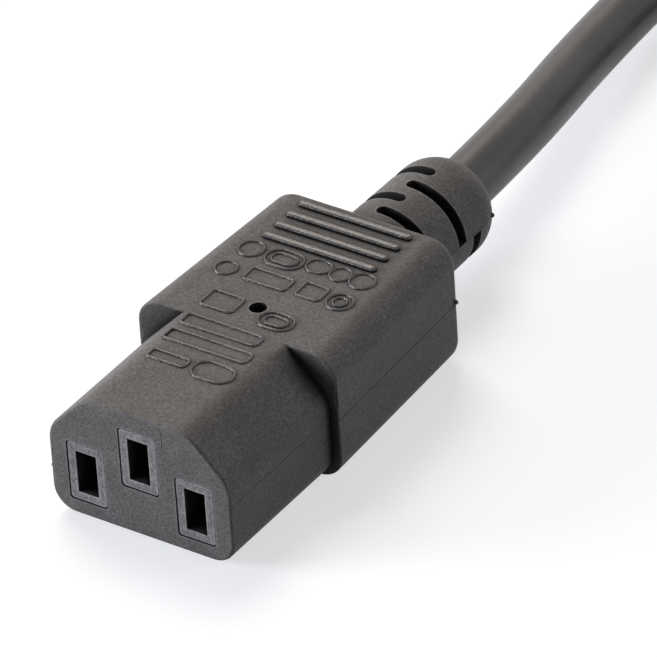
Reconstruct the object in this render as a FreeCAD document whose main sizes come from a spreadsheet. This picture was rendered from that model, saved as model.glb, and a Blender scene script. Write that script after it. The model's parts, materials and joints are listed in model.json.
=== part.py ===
# Short Y splitter power cord: one plug feeding two appliance sockets through a moulded junction.
# Millimetres, +Z up, on the floor. The first socket lies along Y with its face towards -Y; the
# origin is under the middle of it. Left and right are as seen by someone facing its contact slots.
import FreeCAD, Part
import Sketcher
import math
import os
import re

Vector = FreeCAD.Vector
Rotation = FreeCAD.Rotation
Placement = FreeCAD.Placement

# Driving dimensions
SIZES = {
    # the contact pattern that plug and sockets share
    "pin_pitch": 14.0,
    "earth_rise": 4.0,
    "blade_width": 2.0,
    "blade_height": 4.0,
    # socket: nose that enters an inlet
    "nose_length": 18.9,
    "nose_width": 23.4,
    "nose_height": 15.5,
    "nose_chamfer": 5.1,
    "nose_low_radius": 2.8,
    "chamfer_radius": 1.2,
    "nose_lap": 1.0,
    "face_edge_radius": 0.35,
    # socket: grip behind the nose
    "grip_length": 25.8,
    "grip_front_width": 25.8,
    "grip_back_width": 23.4,
    "grip_height": 15.8,
    "grip_long_radius": 3.2,
    "grip_back_radius": 1.5,
    "step_radius": 0.25,
    # raised bars on the grip, and the hole left by the pin that held the carrier in the mould
    "bar_count": 4,
    "bar_pitch": 2.32,
    "bar_length": 14.6,
    "bar_width": 0.9,
    "bar_height": 0.45,
    "bar_end_radius": 0.4,
    "bar_top_radius": 0.3,
    "bar_setback": 2.45,
    "vent_diameter": 2.0,
    "vent_setback": 4.45,
    # slotted strain relief, the same on plug and sockets
    "relief_length": 17.8,
    "relief_root_radius": 6.25,
    "relief_end_radius": 6.1,
    "relief_nose_length": 4.2,
    "relief_nose_radius": 4.7,
    "relief_rim_radius": 3.8,
    "relief_root_depth": 3.0,
    "ring_pitch": 3.0,
    "ring_gap": 1.5,
    "ring_start": 3.1,
    "ring_overlap": 0.1,
    "ring_floor_radius": 3.9,
    "ring_end_radius": 4.2,
    # contact carrier of a socket
    "tower_length": 19.5,
    "tower_width": 4.65,
    "tower_height": 7.3,
    "tower_edge_radius": 0.4,
    "tower_recess": 0.1,
    "tower_gap": 0.12,
    "tower_gap_depth": 0.4,
    "slot_width": 2.66,
    "slot_height": 5.3,
    "carrier_length": 27.0,
    "carrier_width": 19.2,
    "carrier_height": 10.8,
    # spring contact and its crimp
    "leaf_thickness": 0.3,
    "leaf_height": 4.6,
    "leaf_start": 4.0,
    "leaf_end": 17.0,
    "leaf_pinch": 0.12,
    "leaf_pinch_setback": 2.5,
    "leaf_square_length": 4.0,
    "contact_clearance": 0.03,
    "crimp_radius": 1.3,
    # cord
    "cord_diameter": 6.7,
    "core_diameter": 2.1,
    "core_circle": 1.3,
    "jacket_depth": 17.0,
    # plug
    "shroud_length": 20.0,
    "shroud_wall": 2.6,
    "shroud_chamfer": 6.8,
    "shroud_low_radius": 3.6,
    "shroud_back_radius": 1.2,
    "cavity_width": 24.6,
    "cavity_height": 16.6,
    "cavity_depth": 16.7,
    "cavity_chamfer": 5.3,
    "plug_grip_length": 20.2,
    "plug_front_width": 24.0,
    "plug_front_height": 18.6,
    "plug_back_width": 20.6,
    "plug_back_height": 17.0,
    "plug_long_radius": 5.0,
    "line_tip_recess": 2.7,
    "earth_tip_recess": 1.2,
    "blade_tip_chamfer": 0.5,
    "plug_carrier_length": 7.3,
    "plug_carrier_width": 19.2,
    "plug_carrier_height": 12.0,
    "plug_crimp_length": 7.0,
    # junction
    "junction_width": 20.0,
    "junction_height": 12.0,
    "junction_body_length": 18.0,
    "junction_taper_length": 8.0,
    "junction_neck_width": 13.0,
    "junction_neck_height": 11.4,
    "junction_long_radius": 4.0,
    "junction_edge_radius": 0.8,
    "junction_collar_length": 8.0,
    "junction_collar_width": 16.6,
    "junction_collar_height": 9.4,
    "junction_collar_radius": 4.6,
    "junction_relief_length": 10.0,
    "junction_relief_root": 5.3,
    "junction_relief_end": 4.6,
    "groove_width": 1.2,
    "groove_depth": 0.8,
    "groove_pitch": 2.5,
    "branch_spacing": 7.6,
    "junction_jacket_depth": 12.0,
    "splice_length": 6.0,
    "splice_setback": 10.0,
    "splice_pitch": 4.4,
    "splice_rise": 2.0,
    "splice_core_gap": 2.4,
    "earth_core_gap": 2.2,
    "splice_long": 5.2,
    "splice_short": 3.0,
    "splice_corner": 1.4,
    # tie round the two branches
    "tie_width": 9.0,
    "tie_thickness": 1.2,
    "tie_slack": 0.45,
    "tie_spacing": 7.7,
    "tie_flat": 0.1,
    "tie_tail_length": 8.0,
    # how far a cutting shape runs past what it cuts
    "overshoot": 1.0,
}

doc = FreeCAD.newDocument("y_splitter_power_cord")

# The sheet, and how an expression reads it
sheet = doc.addObject("Spreadsheet::Sheet", "sizes")
for row, (alias, size) in enumerate(SIZES.items(), start=1):
    sheet.set("A%d" % row, alias)
    sheet.set("B%d" % row, str(size))
    sheet.setAlias("B%d" % row, alias)
doc.recompute()


def bound(text):
    """The expression with every size's name led by the sheet's."""
    def lead(word):
        name = word.group()
        return "sizes." + name if name in SIZES else name
    return re.sub(r"[a-z][a-z_]+", lead, text)


def number(text):
    """The value of an expression of sizes."""
    return float(sheet.evalExpression(bound(text)))


def bind(thing, **values):
    """Bind properties to expressions; a double underscore stands for a dot."""
    for name, text in values.items():
        thing.setExpression(name.replace("__", "."), bound(text))


# Places along Y and heights that several pieces share; each piece family has its own zero
FACE = "(-(nose_length + grip_length + relief_length) / 2)"
STEP = "(%s + nose_length)" % FACE
GRIP_END = "(%s + grip_length)" % STEP
SOCKET_END = "(%s + relief_length)" % GRIP_END
SOCKET_AXIS = "(grip_height / 2)"
CARRIER_TOP = "(%s + carrier_height / 2)" % SOCKET_AXIS
CARRIER_END = "(%s + carrier_length)" % FACE
SOCKET_JACKET = "(%s - jacket_depth)" % SOCKET_END

PLUG_HEIGHT = "(cavity_height + 2 * shroud_wall)"
PLUG_WIDTH = "(cavity_width + 2 * shroud_wall)"
PLUG_AXIS = "(%s / 2)" % PLUG_HEIGHT
PLUG_GRIP_END = "(shroud_length + plug_grip_length)"
PLUG_END = "(%s + relief_length)" % PLUG_GRIP_END
PLUG_CARRIER_END = "(cavity_depth + plug_carrier_length)"
PLUG_CRIMP_END = "(%s + plug_crimp_length)" % PLUG_CARRIER_END
PLUG_JACKET = "(%s - jacket_depth)" % PLUG_END

JUNCTION_AXIS = "(junction_height / 2)"
TAPER_START = "(junction_collar_length + junction_body_length)"
JUNCTION_NECK = "(%s + junction_taper_length)" % TAPER_START
JUNCTION_END = "(%s + junction_relief_length)" % JUNCTION_NECK
SPLICE_FRONT = "(junction_jacket_depth + splice_setback)"
SPLICE_BACK = "(%s + splice_length)" % SPLICE_FRONT
TRUNK_JACKET = "(%s - junction_jacket_depth)" % JUNCTION_END

# Where the second socket, the plug, the junction and the tie lie, and the branches' way past the tie
SECOND_SOCKET_X = 43.8
SECOND_SOCKET_Y = 146.9
PLUG_X = 40.0
PLUG_Y = 182.2
JUNCTION_X = -3.0
JUNCTION_Y = 151.7
TIE_X = -3.25
TIE_Y = 122.2

JUNCTION_MIDDLE = Vector(JUNCTION_X, JUNCTION_Y, number(JUNCTION_AXIS))
BRANCH_END_Y = JUNCTION_Y + number("junction_jacket_depth")
BRANCH_A_X = JUNCTION_X - number("branch_spacing / 2")
BRANCH_B_X = JUNCTION_X + number("branch_spacing / 2")

# Routes of the three cords, as the corners that their arcs round off
BRANCH_A_ROUTE = [
    (0.0, number(SOCKET_JACKET), number(SOCKET_AXIS)),
    (0.0, 39.2, number(SOCKET_AXIS)),
    (-6.8, 73.5, 4.1),
    (-7.3, 110.7, 4.5),
    (BRANCH_A_X, 138.7, JUNCTION_MIDDLE.z),
    (BRANCH_A_X, BRANCH_END_Y, JUNCTION_MIDDLE.z),
]
BRANCH_B_ROUTE = [
    (BRANCH_B_X, BRANCH_END_Y, JUNCTION_MIDDLE.z),
    (BRANCH_B_X, 139.7, JUNCTION_MIDDLE.z),
    (0.5, 115.3, 4.4),
    (0.8, 97.3, 3.6),
    (13.4, 84.7, 3.4),
    (31.2, 84.7, 4.3),
    (SECOND_SOCKET_X, 97.3, 6.3),
    (SECOND_SOCKET_X, 115.6, number(SOCKET_AXIS)),
    (SECOND_SOCKET_X, SECOND_SOCKET_Y - number(SOCKET_JACKET), number(SOCKET_AXIS)),
]
TRUNK_ROUTE = [
    (JUNCTION_X, JUNCTION_Y + number(TRUNK_JACKET), JUNCTION_MIDDLE.z),
    (JUNCTION_X, 207.7, JUNCTION_MIDDLE.z),
    (-2.5, 235.7, 4.2),
    (-2.9, 259.2, 3.5),
    (9.6, 271.8, 4.3),
    (27.4, 271.8, 6.6),
    (PLUG_X, 259.2, 9.2),
    (PLUG_X, 240.8, number(PLUG_AXIS)),
    (PLUG_X, PLUG_Y + number(PLUG_JACKET), number(PLUG_AXIS)),
]


# Sketches: closed outlines whose corners are expressions of the sheet
def origin_feature(body, role):
    return next(item for item in body.Origin.OriginFeatures if item.Role == role)


def hold(sketch, item, end, corner, point):
    """Hold a point of a sketch at a pair of expressions."""
    for kind, axis, text, value in (
        ("DistanceX", -2, corner[0], point.x),
        ("DistanceY", -1, corner[1], point.y),
    ):
        if abs(value) < 1e-9:
            sketch.addConstraint(Sketcher.Constraint("PointOnObject", item, end, axis))
            continue
        index = sketch.addConstraint(Sketcher.Constraint(kind, item, end, value))
        sketch.setExpression("Constraints[%d]" % index, bound(text))


def hold_radius(sketch, item, text):
    index = sketch.addConstraint(Sketcher.Constraint("Radius", item, number(text)))
    sketch.setExpression("Constraints[%d]" % index, bound(text))


def outline(sketch, corners, arcs=None):
    """A closed outline. arcs maps an edge's number to its radius and the side its centre is on."""
    arcs = arcs or {}
    count = len(corners)
    points = [Vector(number(x), number(y), 0) for x, y in corners]
    first = sketch.GeometryCount
    start_of = [2 if arcs.get(index, ("", 1))[1] < 0 else 1 for index in range(count)]
    for index in range(count):
        start, end = points[index], points[(index + 1) % count]
        if index not in arcs:
            sketch.addGeometry(Part.LineSegment(start, end), False)
            continue
        radius_text, side = arcs[index]
        radius = number(radius_text)
        chord = end - start
        height = math.sqrt(max(radius ** 2 - (chord.Length / 2) ** 2, 0))
        across = Vector(-chord.y, chord.x, 0).normalize() * side
        ring = Part.Circle((start + end) / 2 + across * height, Vector(0, 0, 1), radius)
        if side < 0:
            start, end = end, start
        sketch.addGeometry(Part.ArcOfCircle(ring, ring.parameter(start), ring.parameter(end)), False)
    for index in range(count):
        following = (index + 1) % count
        sketch.addConstraint(Sketcher.Constraint(
            "Coincident", first + index, 3 - start_of[index], first + following, start_of[following]))
    for index in range(count):
        hold(sketch, first + index, start_of[index], corners[index], points[index])
    for index, (radius_text, side) in arcs.items():
        hold_radius(sketch, first + index, radius_text)


def rounded(corners, radii):
    """The corners and arcs of an anticlockwise outline, with the given corners rounded."""
    count = len(corners)
    points = [Vector(number(x), number(y), 0) for x, y in corners]
    result, arcs = [], {}
    for index, (x, y) in enumerate(corners):
        if index not in radii:
            result.append((x, y))
            continue
        back = (points[index - 1] - points[index]).normalize()
        ahead = (points[(index + 1) % count] - points[index]).normalize()
        reach = 1 / math.tan(back.getAngle(ahead) / 2)
        for way in (back, ahead):
            result.append((
                "%s + %s * (%.9f)" % (x, radii[index], reach * way.x),
                "%s + %s * (%.9f)" % (y, radii[index], reach * way.y),
            ))
        arcs[len(result) - 2] = (radii[index], 1)
    return result, arcs


def rectangle(width, height, x="0", y="0"):
    """Corners of a rectangle about a centre."""
    left, right = "%s - %s / 2" % (x, width), "%s + %s / 2" % (x, width)
    low, high = "%s - %s / 2" % (y, height), "%s + %s / 2" % (y, height)
    return [(left, low), (right, low), (right, high), (left, high)]


def rounded_rectangle(width, height, radius, x="0", y="0"):
    return rounded(rectangle(width, height, x, y), dict.fromkeys(range(4), radius))


def inlet_section(width, low, high, chamfer, low_radius):
    """The section of nose, shroud and cavity: its two upper corners cut off, all corners rounded."""
    half = "(%s / 2)" % width
    shoulder = "%s - %s" % (high, chamfer)
    corners = [
        ("-" + half, low),
        (half, low),
        (half, shoulder),
        ("%s - %s" % (half, chamfer), high),
        ("%s - %s" % (chamfer, half), high),
        ("-" + half, shoulder),
    ]
    radii = dict.fromkeys(range(6), "chamfer_radius")
    radii[0] = radii[1] = low_radius
    return rounded(corners, radii)


def circle(sketch, x, y, radius):
    """A circle whose centre and radius are expressions."""
    centre = Vector(number(x), number(y), 0)
    item = sketch.addGeometry(Part.Circle(centre, Vector(0, 0, 1), number(radius)), False)
    hold(sketch, item, 3, (x, y), centre)
    hold_radius(sketch, item, radius)


def attached_sketch(body, name, plane):
    sketch = body.newObject("Sketcher::SketchObject", name)
    sketch.AttachmentSupport = (origin_feature(body, plane), [""])
    sketch.MapMode = "FlatFace"
    return sketch


def sketch_across(body, name, y, height="0"):
    """A sketch on a plane of constant Y; its own axes are X and the height above a given one."""
    sketch = attached_sketch(body, name, "XZ_Plane")
    bind(sketch, AttachmentOffset__Base__z="-(%s)" % y, AttachmentOffset__Base__y=height)
    return sketch


def sketch_along(body, name, height="0"):
    """A sketch on the middle plane; its own axes are Y and the height above a given one."""
    sketch = attached_sketch(body, name, "YZ_Plane")
    bind(sketch, AttachmentOffset__Base__y=height)
    return sketch


def sketch_flat(body, name, height):
    """A level sketch at a height; its own axes are X and Y."""
    sketch = attached_sketch(body, name, "XY_Plane")
    bind(sketch, AttachmentOffset__Base__z=height)
    return sketch


# Features that several bodies share
def solid_feature(body, kind, name, profile, length, reverse, middle):
    feature = body.newObject("PartDesign::" + kind, name)
    feature.Profile = profile
    feature.Reversed = reverse
    feature.Midplane = middle
    bind(feature, Length=length)
    return feature


def pad(body, name, profile, length, reverse=False, middle=False):
    return solid_feature(body, "Pad", name, profile, length, reverse, middle)


def pocket(body, name, profile, length, reverse=False, middle=False):
    return solid_feature(body, "Pocket", name, profile, length, reverse, middle)


def loft(body, name, first, last):
    feature = body.newObject("PartDesign::AdditiveLoft", name)
    feature.Profile = first
    feature.Sections = [last]
    feature.Ruled = True
    return feature


def revolve(body, kind, name, profile):
    feature = body.newObject("PartDesign::" + kind, name)
    feature.Profile = profile
    feature.ReferenceAxis = (profile, ["H_Axis"])
    feature.Angle = 360.0
    return feature


def repeat_along_y(body, name, features, span, count, backwards=False):
    """Copies of one or more features along Y, over a span."""
    pattern = body.newObject("PartDesign::LinearPattern", name)
    pattern.Originals = features
    pattern.Direction = (origin_feature(body, "Y_Axis"), [""])
    pattern.Reversed = backwards
    bind(pattern, Length=span, Occurrences=count)
    body.Tip = pattern
    return pattern


def round_between(body, name, base, first_y, last_y, radius):
    """Round the edges of a feature that run from one Y to the other."""
    doc.recompute()
    low, high = number(first_y), number(last_y)
    names = []
    for index, edge in enumerate(base.Shape.Edges, start=1):
        ends = sorted(vertex.Point.y for vertex in edge.Vertexes)
        if abs(ends[0] - low) < 0.001 and abs(ends[-1] - high) < 0.001:
            names.append("Edge%d" % index)
    feature = body.newObject("PartDesign::Fillet", name)
    feature.Base = (base, names)
    bind(feature, Radius=radius)
    return feature


def round_rim(body, name, base, y, radius):
    """Round the edges of a feature that lie in one plane across Y."""
    return round_between(body, name, base, y, y, radius)


def round_top(body, name, base, height, radius):
    """Round the edges of a feature that lie in one level plane."""
    doc.recompute()
    level = number(height)
    names = ["Edge%d" % index for index, edge in enumerate(base.Shape.Edges, start=1)
             if all(abs(vertex.Point.z - level) < 0.001 for vertex in edge.Vertexes)]
    feature = body.newObject("PartDesign::Fillet", name)
    feature.Base = (base, names)
    bind(feature, Radius=radius)
    return feature


def strain_relief(body, start, axis_height):
    """A barrel with a domed end, and half-ring slots cut in turn from all four quarters."""
    end = "(%s + relief_length)" % start
    profile = sketch_along(body, "relief_profile", axis_height)
    root = "(%s - relief_root_depth)" % start
    outline(profile, [
        (root, "0"),
        (root, "relief_root_radius"),
        (start, "relief_root_radius"),
        ("%s - relief_nose_length" % end, "relief_end_radius"),
        (end, "relief_rim_radius"),
        (end, "0"),
    ], {3: ("relief_nose_radius", -1)})
    revolve(body, "Revolution", "relief_barrel", profile)

    beyond = "(relief_root_radius + overshoot)"
    floor = "sqrt(ring_floor_radius ^ 2 - ring_overlap ^ 2)"
    for name, side, up, ring in (
        ("upper_right", 1, 1, 0),
        ("lower_left", -1, -1, 0),
        ("upper_left", -1, 1, 1),
        ("lower_right", 1, -1, 1),
    ):
        x, z = "%d * " % side, "%d * " % up
        middle = "%s + ring_start + %d * ring_pitch" % (start, ring)
        slot = sketch_across(body, "slot_" + name, middle, axis_height)
        outline(slot, [
            (x + "ring_floor_radius", "0"),
            (x + beyond, "0"),
            (x + beyond, z + beyond),
            (x + "(-ring_overlap)", z + beyond),
            (x + "(-ring_overlap)", z + floor),
        ], {4: ("ring_floor_radius", -side * up)})
        slotted = pocket(body, "cut_" + name, slot, "ring_gap", middle=True)
        slot_end = sketch_flat(body, "slot_end_" + name, "%s + %sring_end_radius" % (axis_height, z))
        circle(slot_end, x + "(-ring_overlap)", middle, "ring_gap / 2")
        rounded_end = pocket(body, "round_" + name, slot_end, "%s - ring_end_radius" % beyond, reverse=up > 0)
        repeat_along_y(body, "rings_" + name, [slotted, rounded_end], "2 * ring_pitch", "2")


def grip_bars(body, back, top):
    """Raised bars across the top, near the back of a grip."""
    plan = sketch_flat(body, "bar_plan", top)
    outline(plan, *rounded_rectangle("bar_length", "bar_width", "bar_end_radius",
                                     "0", "%s - bar_setback" % back))
    bar = pad(body, "bar", plan, "bar_height")
    bars = repeat_along_y(body, "bars", [bar], "(bar_count - 1) * bar_pitch", "bar_count", backwards=True)
    round_top(body, "bar_tops", bars, "%s + bar_height" % top, "bar_top_radius")


# Pieces that are not bodies
def piece(label, shape, placement=None):
    """A piece whose shape is made from the sheet's sizes."""
    item = doc.addObject("Part::Feature", label)
    item.Label = label
    item.Shape = shape
    if placement is not None:
        item.Placement = placement
    return item


def core(label, start, finish, placement=None):
    """An insulated core: a slanted round bar whose ends lie across Y, flush with crimp and jacket."""
    start, finish = (Vector(*[number(text) for text in point]) for point in (start, finish))
    ring = Part.Circle(start, Vector(0, 1, 0), number("core_diameter / 2"))
    return piece(label, Part.Face(Part.Wire(ring.toShape())).extrude(finish - start), placement)


def box(name, x, y, z):
    """A block between pairs of expressions."""
    item = doc.addObject("Part::Box", name)
    bind(item, Placement__Base__x=x[0], Placement__Base__y=y[0], Placement__Base__z=z[0],
         Length="%s - (%s)" % (x[1], x[0]), Width="%s - (%s)" % (y[1], y[0]),
         Height="%s - (%s)" % (z[1], z[0]))
    return item


def about(middle, size):
    """The pair of expressions of a size about a middle."""
    return "%s - %s / 2" % (middle, size), "%s + %s / 2" % (middle, size)


def bar_along_y(name, x, y, z, radius):
    """A round bar along Y between a pair of expressions."""
    item = doc.addObject("Part::Cylinder", name)
    item.Placement = Placement(Vector(), Rotation(Vector(1, 0, 0), -90))
    bind(item, Radius=radius, Height="%s - (%s)" % (y[1], y[0]),
         Placement__Base__x=x, Placement__Base__y=y[0], Placement__Base__z=z)
    return item


def compound(name, items):
    item = doc.addObject("Part::Compound", name)
    item.Links = items
    return item


def cut(label, base, tool):
    item = doc.addObject("Part::Cut", label)
    item.Label = label
    item.Base = base
    item.Tool = tool
    return item


# Cords
def rounded_path(route):
    """A wire of straight runs joined by tangent arcs, and the arcs' radii."""
    corners = [Vector(*point) for point in route]
    edges, radii, here = [], [], corners[0]
    for before, corner, after in zip(corners, corners[1:], corners[2:]):
        arriving, leaving = corner - before, after - corner
        half_turn = arriving.getAngle(leaving) / 2
        reach = 0.45 * min(arriving.Length, leaving.Length)
        radii.append(reach / math.tan(half_turn))
        arriving.normalize()
        leaving.normalize()
        start = corner - arriving * reach
        end = corner + leaving * reach
        sagitta = radii[-1] / math.cos(half_turn) - radii[-1]
        middle = corner + (leaving - arriving).normalize() * sagitta
        edges.append(Part.LineSegment(here, start).toShape())
        edges.append(Part.Arc(start, middle, end).toShape())
        here = end
    edges.append(Part.LineSegment(here, corners[-1]).toShape())
    return Part.Wire(edges), radii


def cord(label, route):
    """A round cord along a route."""
    path, radii = rounded_path(route)
    radius = number("cord_diameter / 2")
    start = Vector(*route[0])
    ring = Part.Wire(Part.Circle(start, Vector(*route[1]) - start, radius).toShape())
    tube = path.makePipeShell([ring], True, False)
    share = tube.Volume / (math.pi * radius ** 2 * path.Length)
    if abs(share - 1) > 0.001:
        raise RuntimeError("%s is not as thick everywhere" % label)
    print("%s: length %.1f, radii %s, volume over section times length %.4f" % (
        label, path.Length, ", ".join("%.0f" % value for value in radii), share))
    return piece(label, tube)


branch_a = cord("cord_branch_a", BRANCH_A_ROUTE)
branch_b = cord("cord_branch_b", BRANCH_B_ROUTE)
trunk = cord("cord_trunk", TRUNK_ROUTE)

# Contact places of a socket, seen from its face, and of the plug, whose pins are their mirror image
SOCKET_CONTACTS = {
    "neutral": ("-pin_pitch / 2", "(%s - earth_rise / 2)" % SOCKET_AXIS),
    "earth": ("0", "(%s + earth_rise / 2)" % SOCKET_AXIS),
    "line": ("pin_pitch / 2", "(%s - earth_rise / 2)" % SOCKET_AXIS),
}
PLUG_PINS = {
    "neutral": ("pin_pitch / 2", "(%s - earth_rise / 2)" % PLUG_AXIS, "line_tip_recess"),
    "earth": ("0", "(%s + earth_rise / 2)" % PLUG_AXIS, "earth_tip_recess"),
    "line": ("-pin_pitch / 2", "(%s - earth_rise / 2)" % PLUG_AXIS, "line_tip_recess"),
}


# The direction in which each core lies from the cord's axis where it leaves the jacket, in degrees
CORE_ANGLES = {
    "socket": {"line": 330, "earth": 90, "neutral": 210},
    "plug": {"line": 210, "earth": 90, "neutral": 330},
    "a": {"line": 210, "earth": 330, "neutral": 90},
    "b": {"line": 270, "earth": 150, "neutral": 30},
    "trunk": {"line": 210, "earth": 90, "neutral": 330},
}


def jacket_place(where, name, middle_x, middle_z):
    """Where a core leaves its jacket."""
    angle = math.radians(CORE_ANGLES[where][name])
    return ("%s + core_circle * (%.9f)" % (middle_x, math.cos(angle)),
            "%s + core_circle * (%.9f)" % (middle_z, math.sin(angle)))


# Spring contact: a U of strip, pinched near its mouth, with a crimp behind
def spring_contact(label, x, height):
    body = doc.addObject("PartDesign::Body", label)
    outer = "(slot_width / 2 - contact_clearance)"
    start, end = "(%s + leaf_start)" % FACE, "(%s + leaf_end)" % FACE
    stations = [
        (start, outer),
        ("(%s + leaf_pinch_setback)" % start, "(%s - leaf_pinch)" % outer),
        ("(%s - leaf_square_length)" % end, outer),
    ]
    web = "(%s - leaf_thickness)" % end
    right = [("%s + %s" % (x, across), y) for y, across in stations]
    left = [("%s - %s" % (x, across), y) for y, across in stations]
    inner_right = [("%s + %s - leaf_thickness" % (x, across), y) for y, across in stations]
    inner_left = [("%s - %s + leaf_thickness" % (x, across), y) for y, across in stations]
    strip = sketch_flat(body, "strip", "%s - leaf_height / 2" % height)
    outline(strip, right + [
        ("%s + %s" % (x, outer), end),
        ("%s - %s" % (x, outer), end),
    ] + left[::-1] + inner_left + [
        ("%s - %s + leaf_thickness" % (x, outer), web),
        ("%s + %s - leaf_thickness" % (x, outer), web),
    ] + inner_right[::-1])
    pad(body, "leaves", strip, "leaf_height")
    barrel = sketch_across(body, "barrel", end)
    circle(barrel, x, height, "crimp_radius")
    pad(body, "crimp", barrel, "carrier_length - leaf_end", reverse=True)
    return body


# Contact carrier: three towers on a block, hollow for the contacts
def socket_carrier():
    blank = doc.addObject("PartDesign::Body", "socket_carrier_blank")
    tower_back = "(%s + tower_length)" % FACE
    block = sketch_across(blank, "block_section", tower_back)
    outline(block, rectangle("carrier_width", "carrier_height", "0", SOCKET_AXIS))
    pad(blank, "block", block, "carrier_length - tower_length", reverse=True)
    for name, (x, z) in SOCKET_CONTACTS.items():
        end = sketch_across(blank, "tower_end_" + name, "%s + tower_recess" % FACE)
        outline(end, *rounded_rectangle("tower_width", "tower_height", "tower_edge_radius", x, z))
        pad(blank, "tower_" + name, end, "tower_length - tower_recess", reverse=True)

    hollows = []
    for name, (x, z) in SOCKET_CONTACTS.items():
        hollows.append(box("contact_hollow_" + name, about(x, "slot_width"),
                           ("%s - overshoot" % FACE, "%s + leaf_end + contact_clearance" % FACE),
                           about(z, "slot_height")))
        hollows.append(bar_along_y("crimp_bore_" + name, x,
                                   ("%s + leaf_end" % FACE, "%s + overshoot" % CARRIER_END), z,
                                   "crimp_radius + contact_clearance"))
    return blank, cut("socket_a_carrier", blank, compound("socket_hollows", hollows))


# Socket moulding: nose, grip and strain relief in one
def socket_moulding():
    body = doc.addObject("PartDesign::Body", "socket_moulding")
    plan = sketch_flat(body, "grip_plan", "0")
    outline(plan, [
        ("-grip_front_width / 2", STEP),
        ("grip_front_width / 2", STEP),
        ("grip_back_width / 2", GRIP_END),
        ("-grip_back_width / 2", GRIP_END),
    ])
    grip = pad(body, "grip", plan, "grip_height")
    grip = round_between(body, "grip_long_edges", grip, STEP, GRIP_END, "grip_long_radius")
    grip = round_rim(body, "grip_back_rim", grip, GRIP_END, "grip_back_radius")
    round_rim(body, "grip_front_rim", grip, STEP, "step_radius")
    section = sketch_across(body, "nose_section", FACE)
    outline(section, *inlet_section("nose_width", "grip_height - nose_height", "grip_height",
                                    "nose_chamfer", "nose_low_radius"))
    nose = pad(body, "nose", section, "nose_length + nose_lap", reverse=True)
    round_rim(body, "face_rim", nose, FACE, "face_edge_radius")
    for name, (x, z) in SOCKET_CONTACTS.items():
        window = sketch_across(body, "window_" + name, FACE)
        outline(window, *rounded_rectangle("(tower_width + 2 * tower_gap)", "(tower_height + 2 * tower_gap)",
                                           "tower_edge_radius", x, z))
        pocket(body, "opening_" + name, window, "tower_gap_depth")
    grip_bars(body, GRIP_END, "grip_height")
    vent = sketch_flat(body, "vent_circle", "grip_height")
    circle(vent, "0", "%s + vent_setback" % STEP, "vent_diameter / 2")
    pocket(body, "vent", vent, "grip_height - %s" % CARRIER_TOP)
    strain_relief(body, GRIP_END, SOCKET_AXIS)
    return body


socket_carrier_blank, socket_a_carrier = socket_carrier()
socket_contacts = []
socket_cores = []
for name, (x, z) in SOCKET_CONTACTS.items():
    socket_contacts.append(spring_contact("socket_a_contact_" + name, x, z))
    across, up = jacket_place("socket", name, "0", SOCKET_AXIS)
    socket_cores.append(core("socket_a_core_" + name, (x, CARRIER_END, z), (across, SOCKET_JACKET, up)))
socket_filling = compound("socket_filling", [socket_carrier_blank] + socket_cores)
socket_shell = cut("socket_shell", socket_moulding(), socket_filling)
doc.recompute()

# The two sockets are the same pieces; the second lies turned round beside the junction
turned = Placement(Vector(SECOND_SOCKET_X, SECOND_SOCKET_Y, 0), Rotation(Vector(0, 0, 1), 180))
socket_a_body = cut("socket_a_body", socket_shell, branch_a)
second_shell = piece("second_shell", socket_shell.Shape.copy(), turned)
socket_b_body = cut("socket_b_body", second_shell, branch_b)
socket_a_filling = [socket_a_carrier] + socket_contacts + socket_cores
socket_b_filling = [
    piece(item.Label.replace("socket_a", "socket_b"), item.Shape.copy(), turned) for item in socket_a_filling
]


# Plug: shrouded mouth, grip and strain relief in one moulding
def plug_moulding():
    body = doc.addObject("PartDesign::Body", "plug_moulding")
    section = sketch_across(body, "shroud_section", "0")
    outline(section, *inlet_section(PLUG_WIDTH, "0", PLUG_HEIGHT, "shroud_chamfer", "shroud_low_radius"))
    shroud = pad(body, "shroud", section, "shroud_length", reverse=True)
    shroud = round_rim(body, "mouth_rim", shroud, "0", "face_edge_radius")
    round_rim(body, "shroud_back_rim", shroud, "shroud_length", "shroud_back_radius")
    mouth = sketch_across(body, "mouth", "0")
    outline(mouth, *inlet_section("cavity_width", "shroud_wall", "(shroud_wall + cavity_height)",
                                  "cavity_chamfer", "nose_low_radius"))
    pocket(body, "cavity", mouth, "cavity_depth")
    front = sketch_across(body, "plug_grip_front", "shroud_length - nose_lap")
    outline(front, *rounded_rectangle("plug_front_width", "plug_front_height", "plug_long_radius",
                                      "0", PLUG_AXIS))
    back = sketch_across(body, "plug_grip_back", PLUG_GRIP_END)
    outline(back, *rounded_rectangle("plug_back_width", "plug_back_height", "plug_long_radius",
                                     "0", PLUG_AXIS))
    grip = loft(body, "plug_grip", front, back)
    round_rim(body, "plug_back_rim", grip, PLUG_GRIP_END, "grip_back_radius")
    strain_relief(body, PLUG_GRIP_END, PLUG_AXIS)
    return body


def plug_pin(name, x, z, tip):
    """A blade with a chamfered tip, and its crimp behind the carrier."""
    body = doc.addObject("PartDesign::Body", "pin_" + name)
    section = sketch_across(body, "blade_section", tip)
    outline(section, rectangle("blade_width", "blade_height", x, z))
    blade = pad(body, "blade", section, "%s - %s" % (PLUG_CARRIER_END, tip), reverse=True)
    doc.recompute()
    place = number(tip)
    names = ["Edge%d" % index for index, edge in enumerate(blade.Shape.Edges, start=1)
             if abs(edge.BoundBox.YMax - place) < 0.01]
    chamfer = body.newObject("PartDesign::Chamfer", "tip_chamfer")
    chamfer.Base = (blade, names)
    bind(chamfer, Size="blade_tip_chamfer")
    barrel = sketch_across(body, "barrel", PLUG_CARRIER_END)
    circle(barrel, x, z, "crimp_radius")
    pad(body, "crimp", barrel, "plug_crimp_length", reverse=True)
    return body


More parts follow.
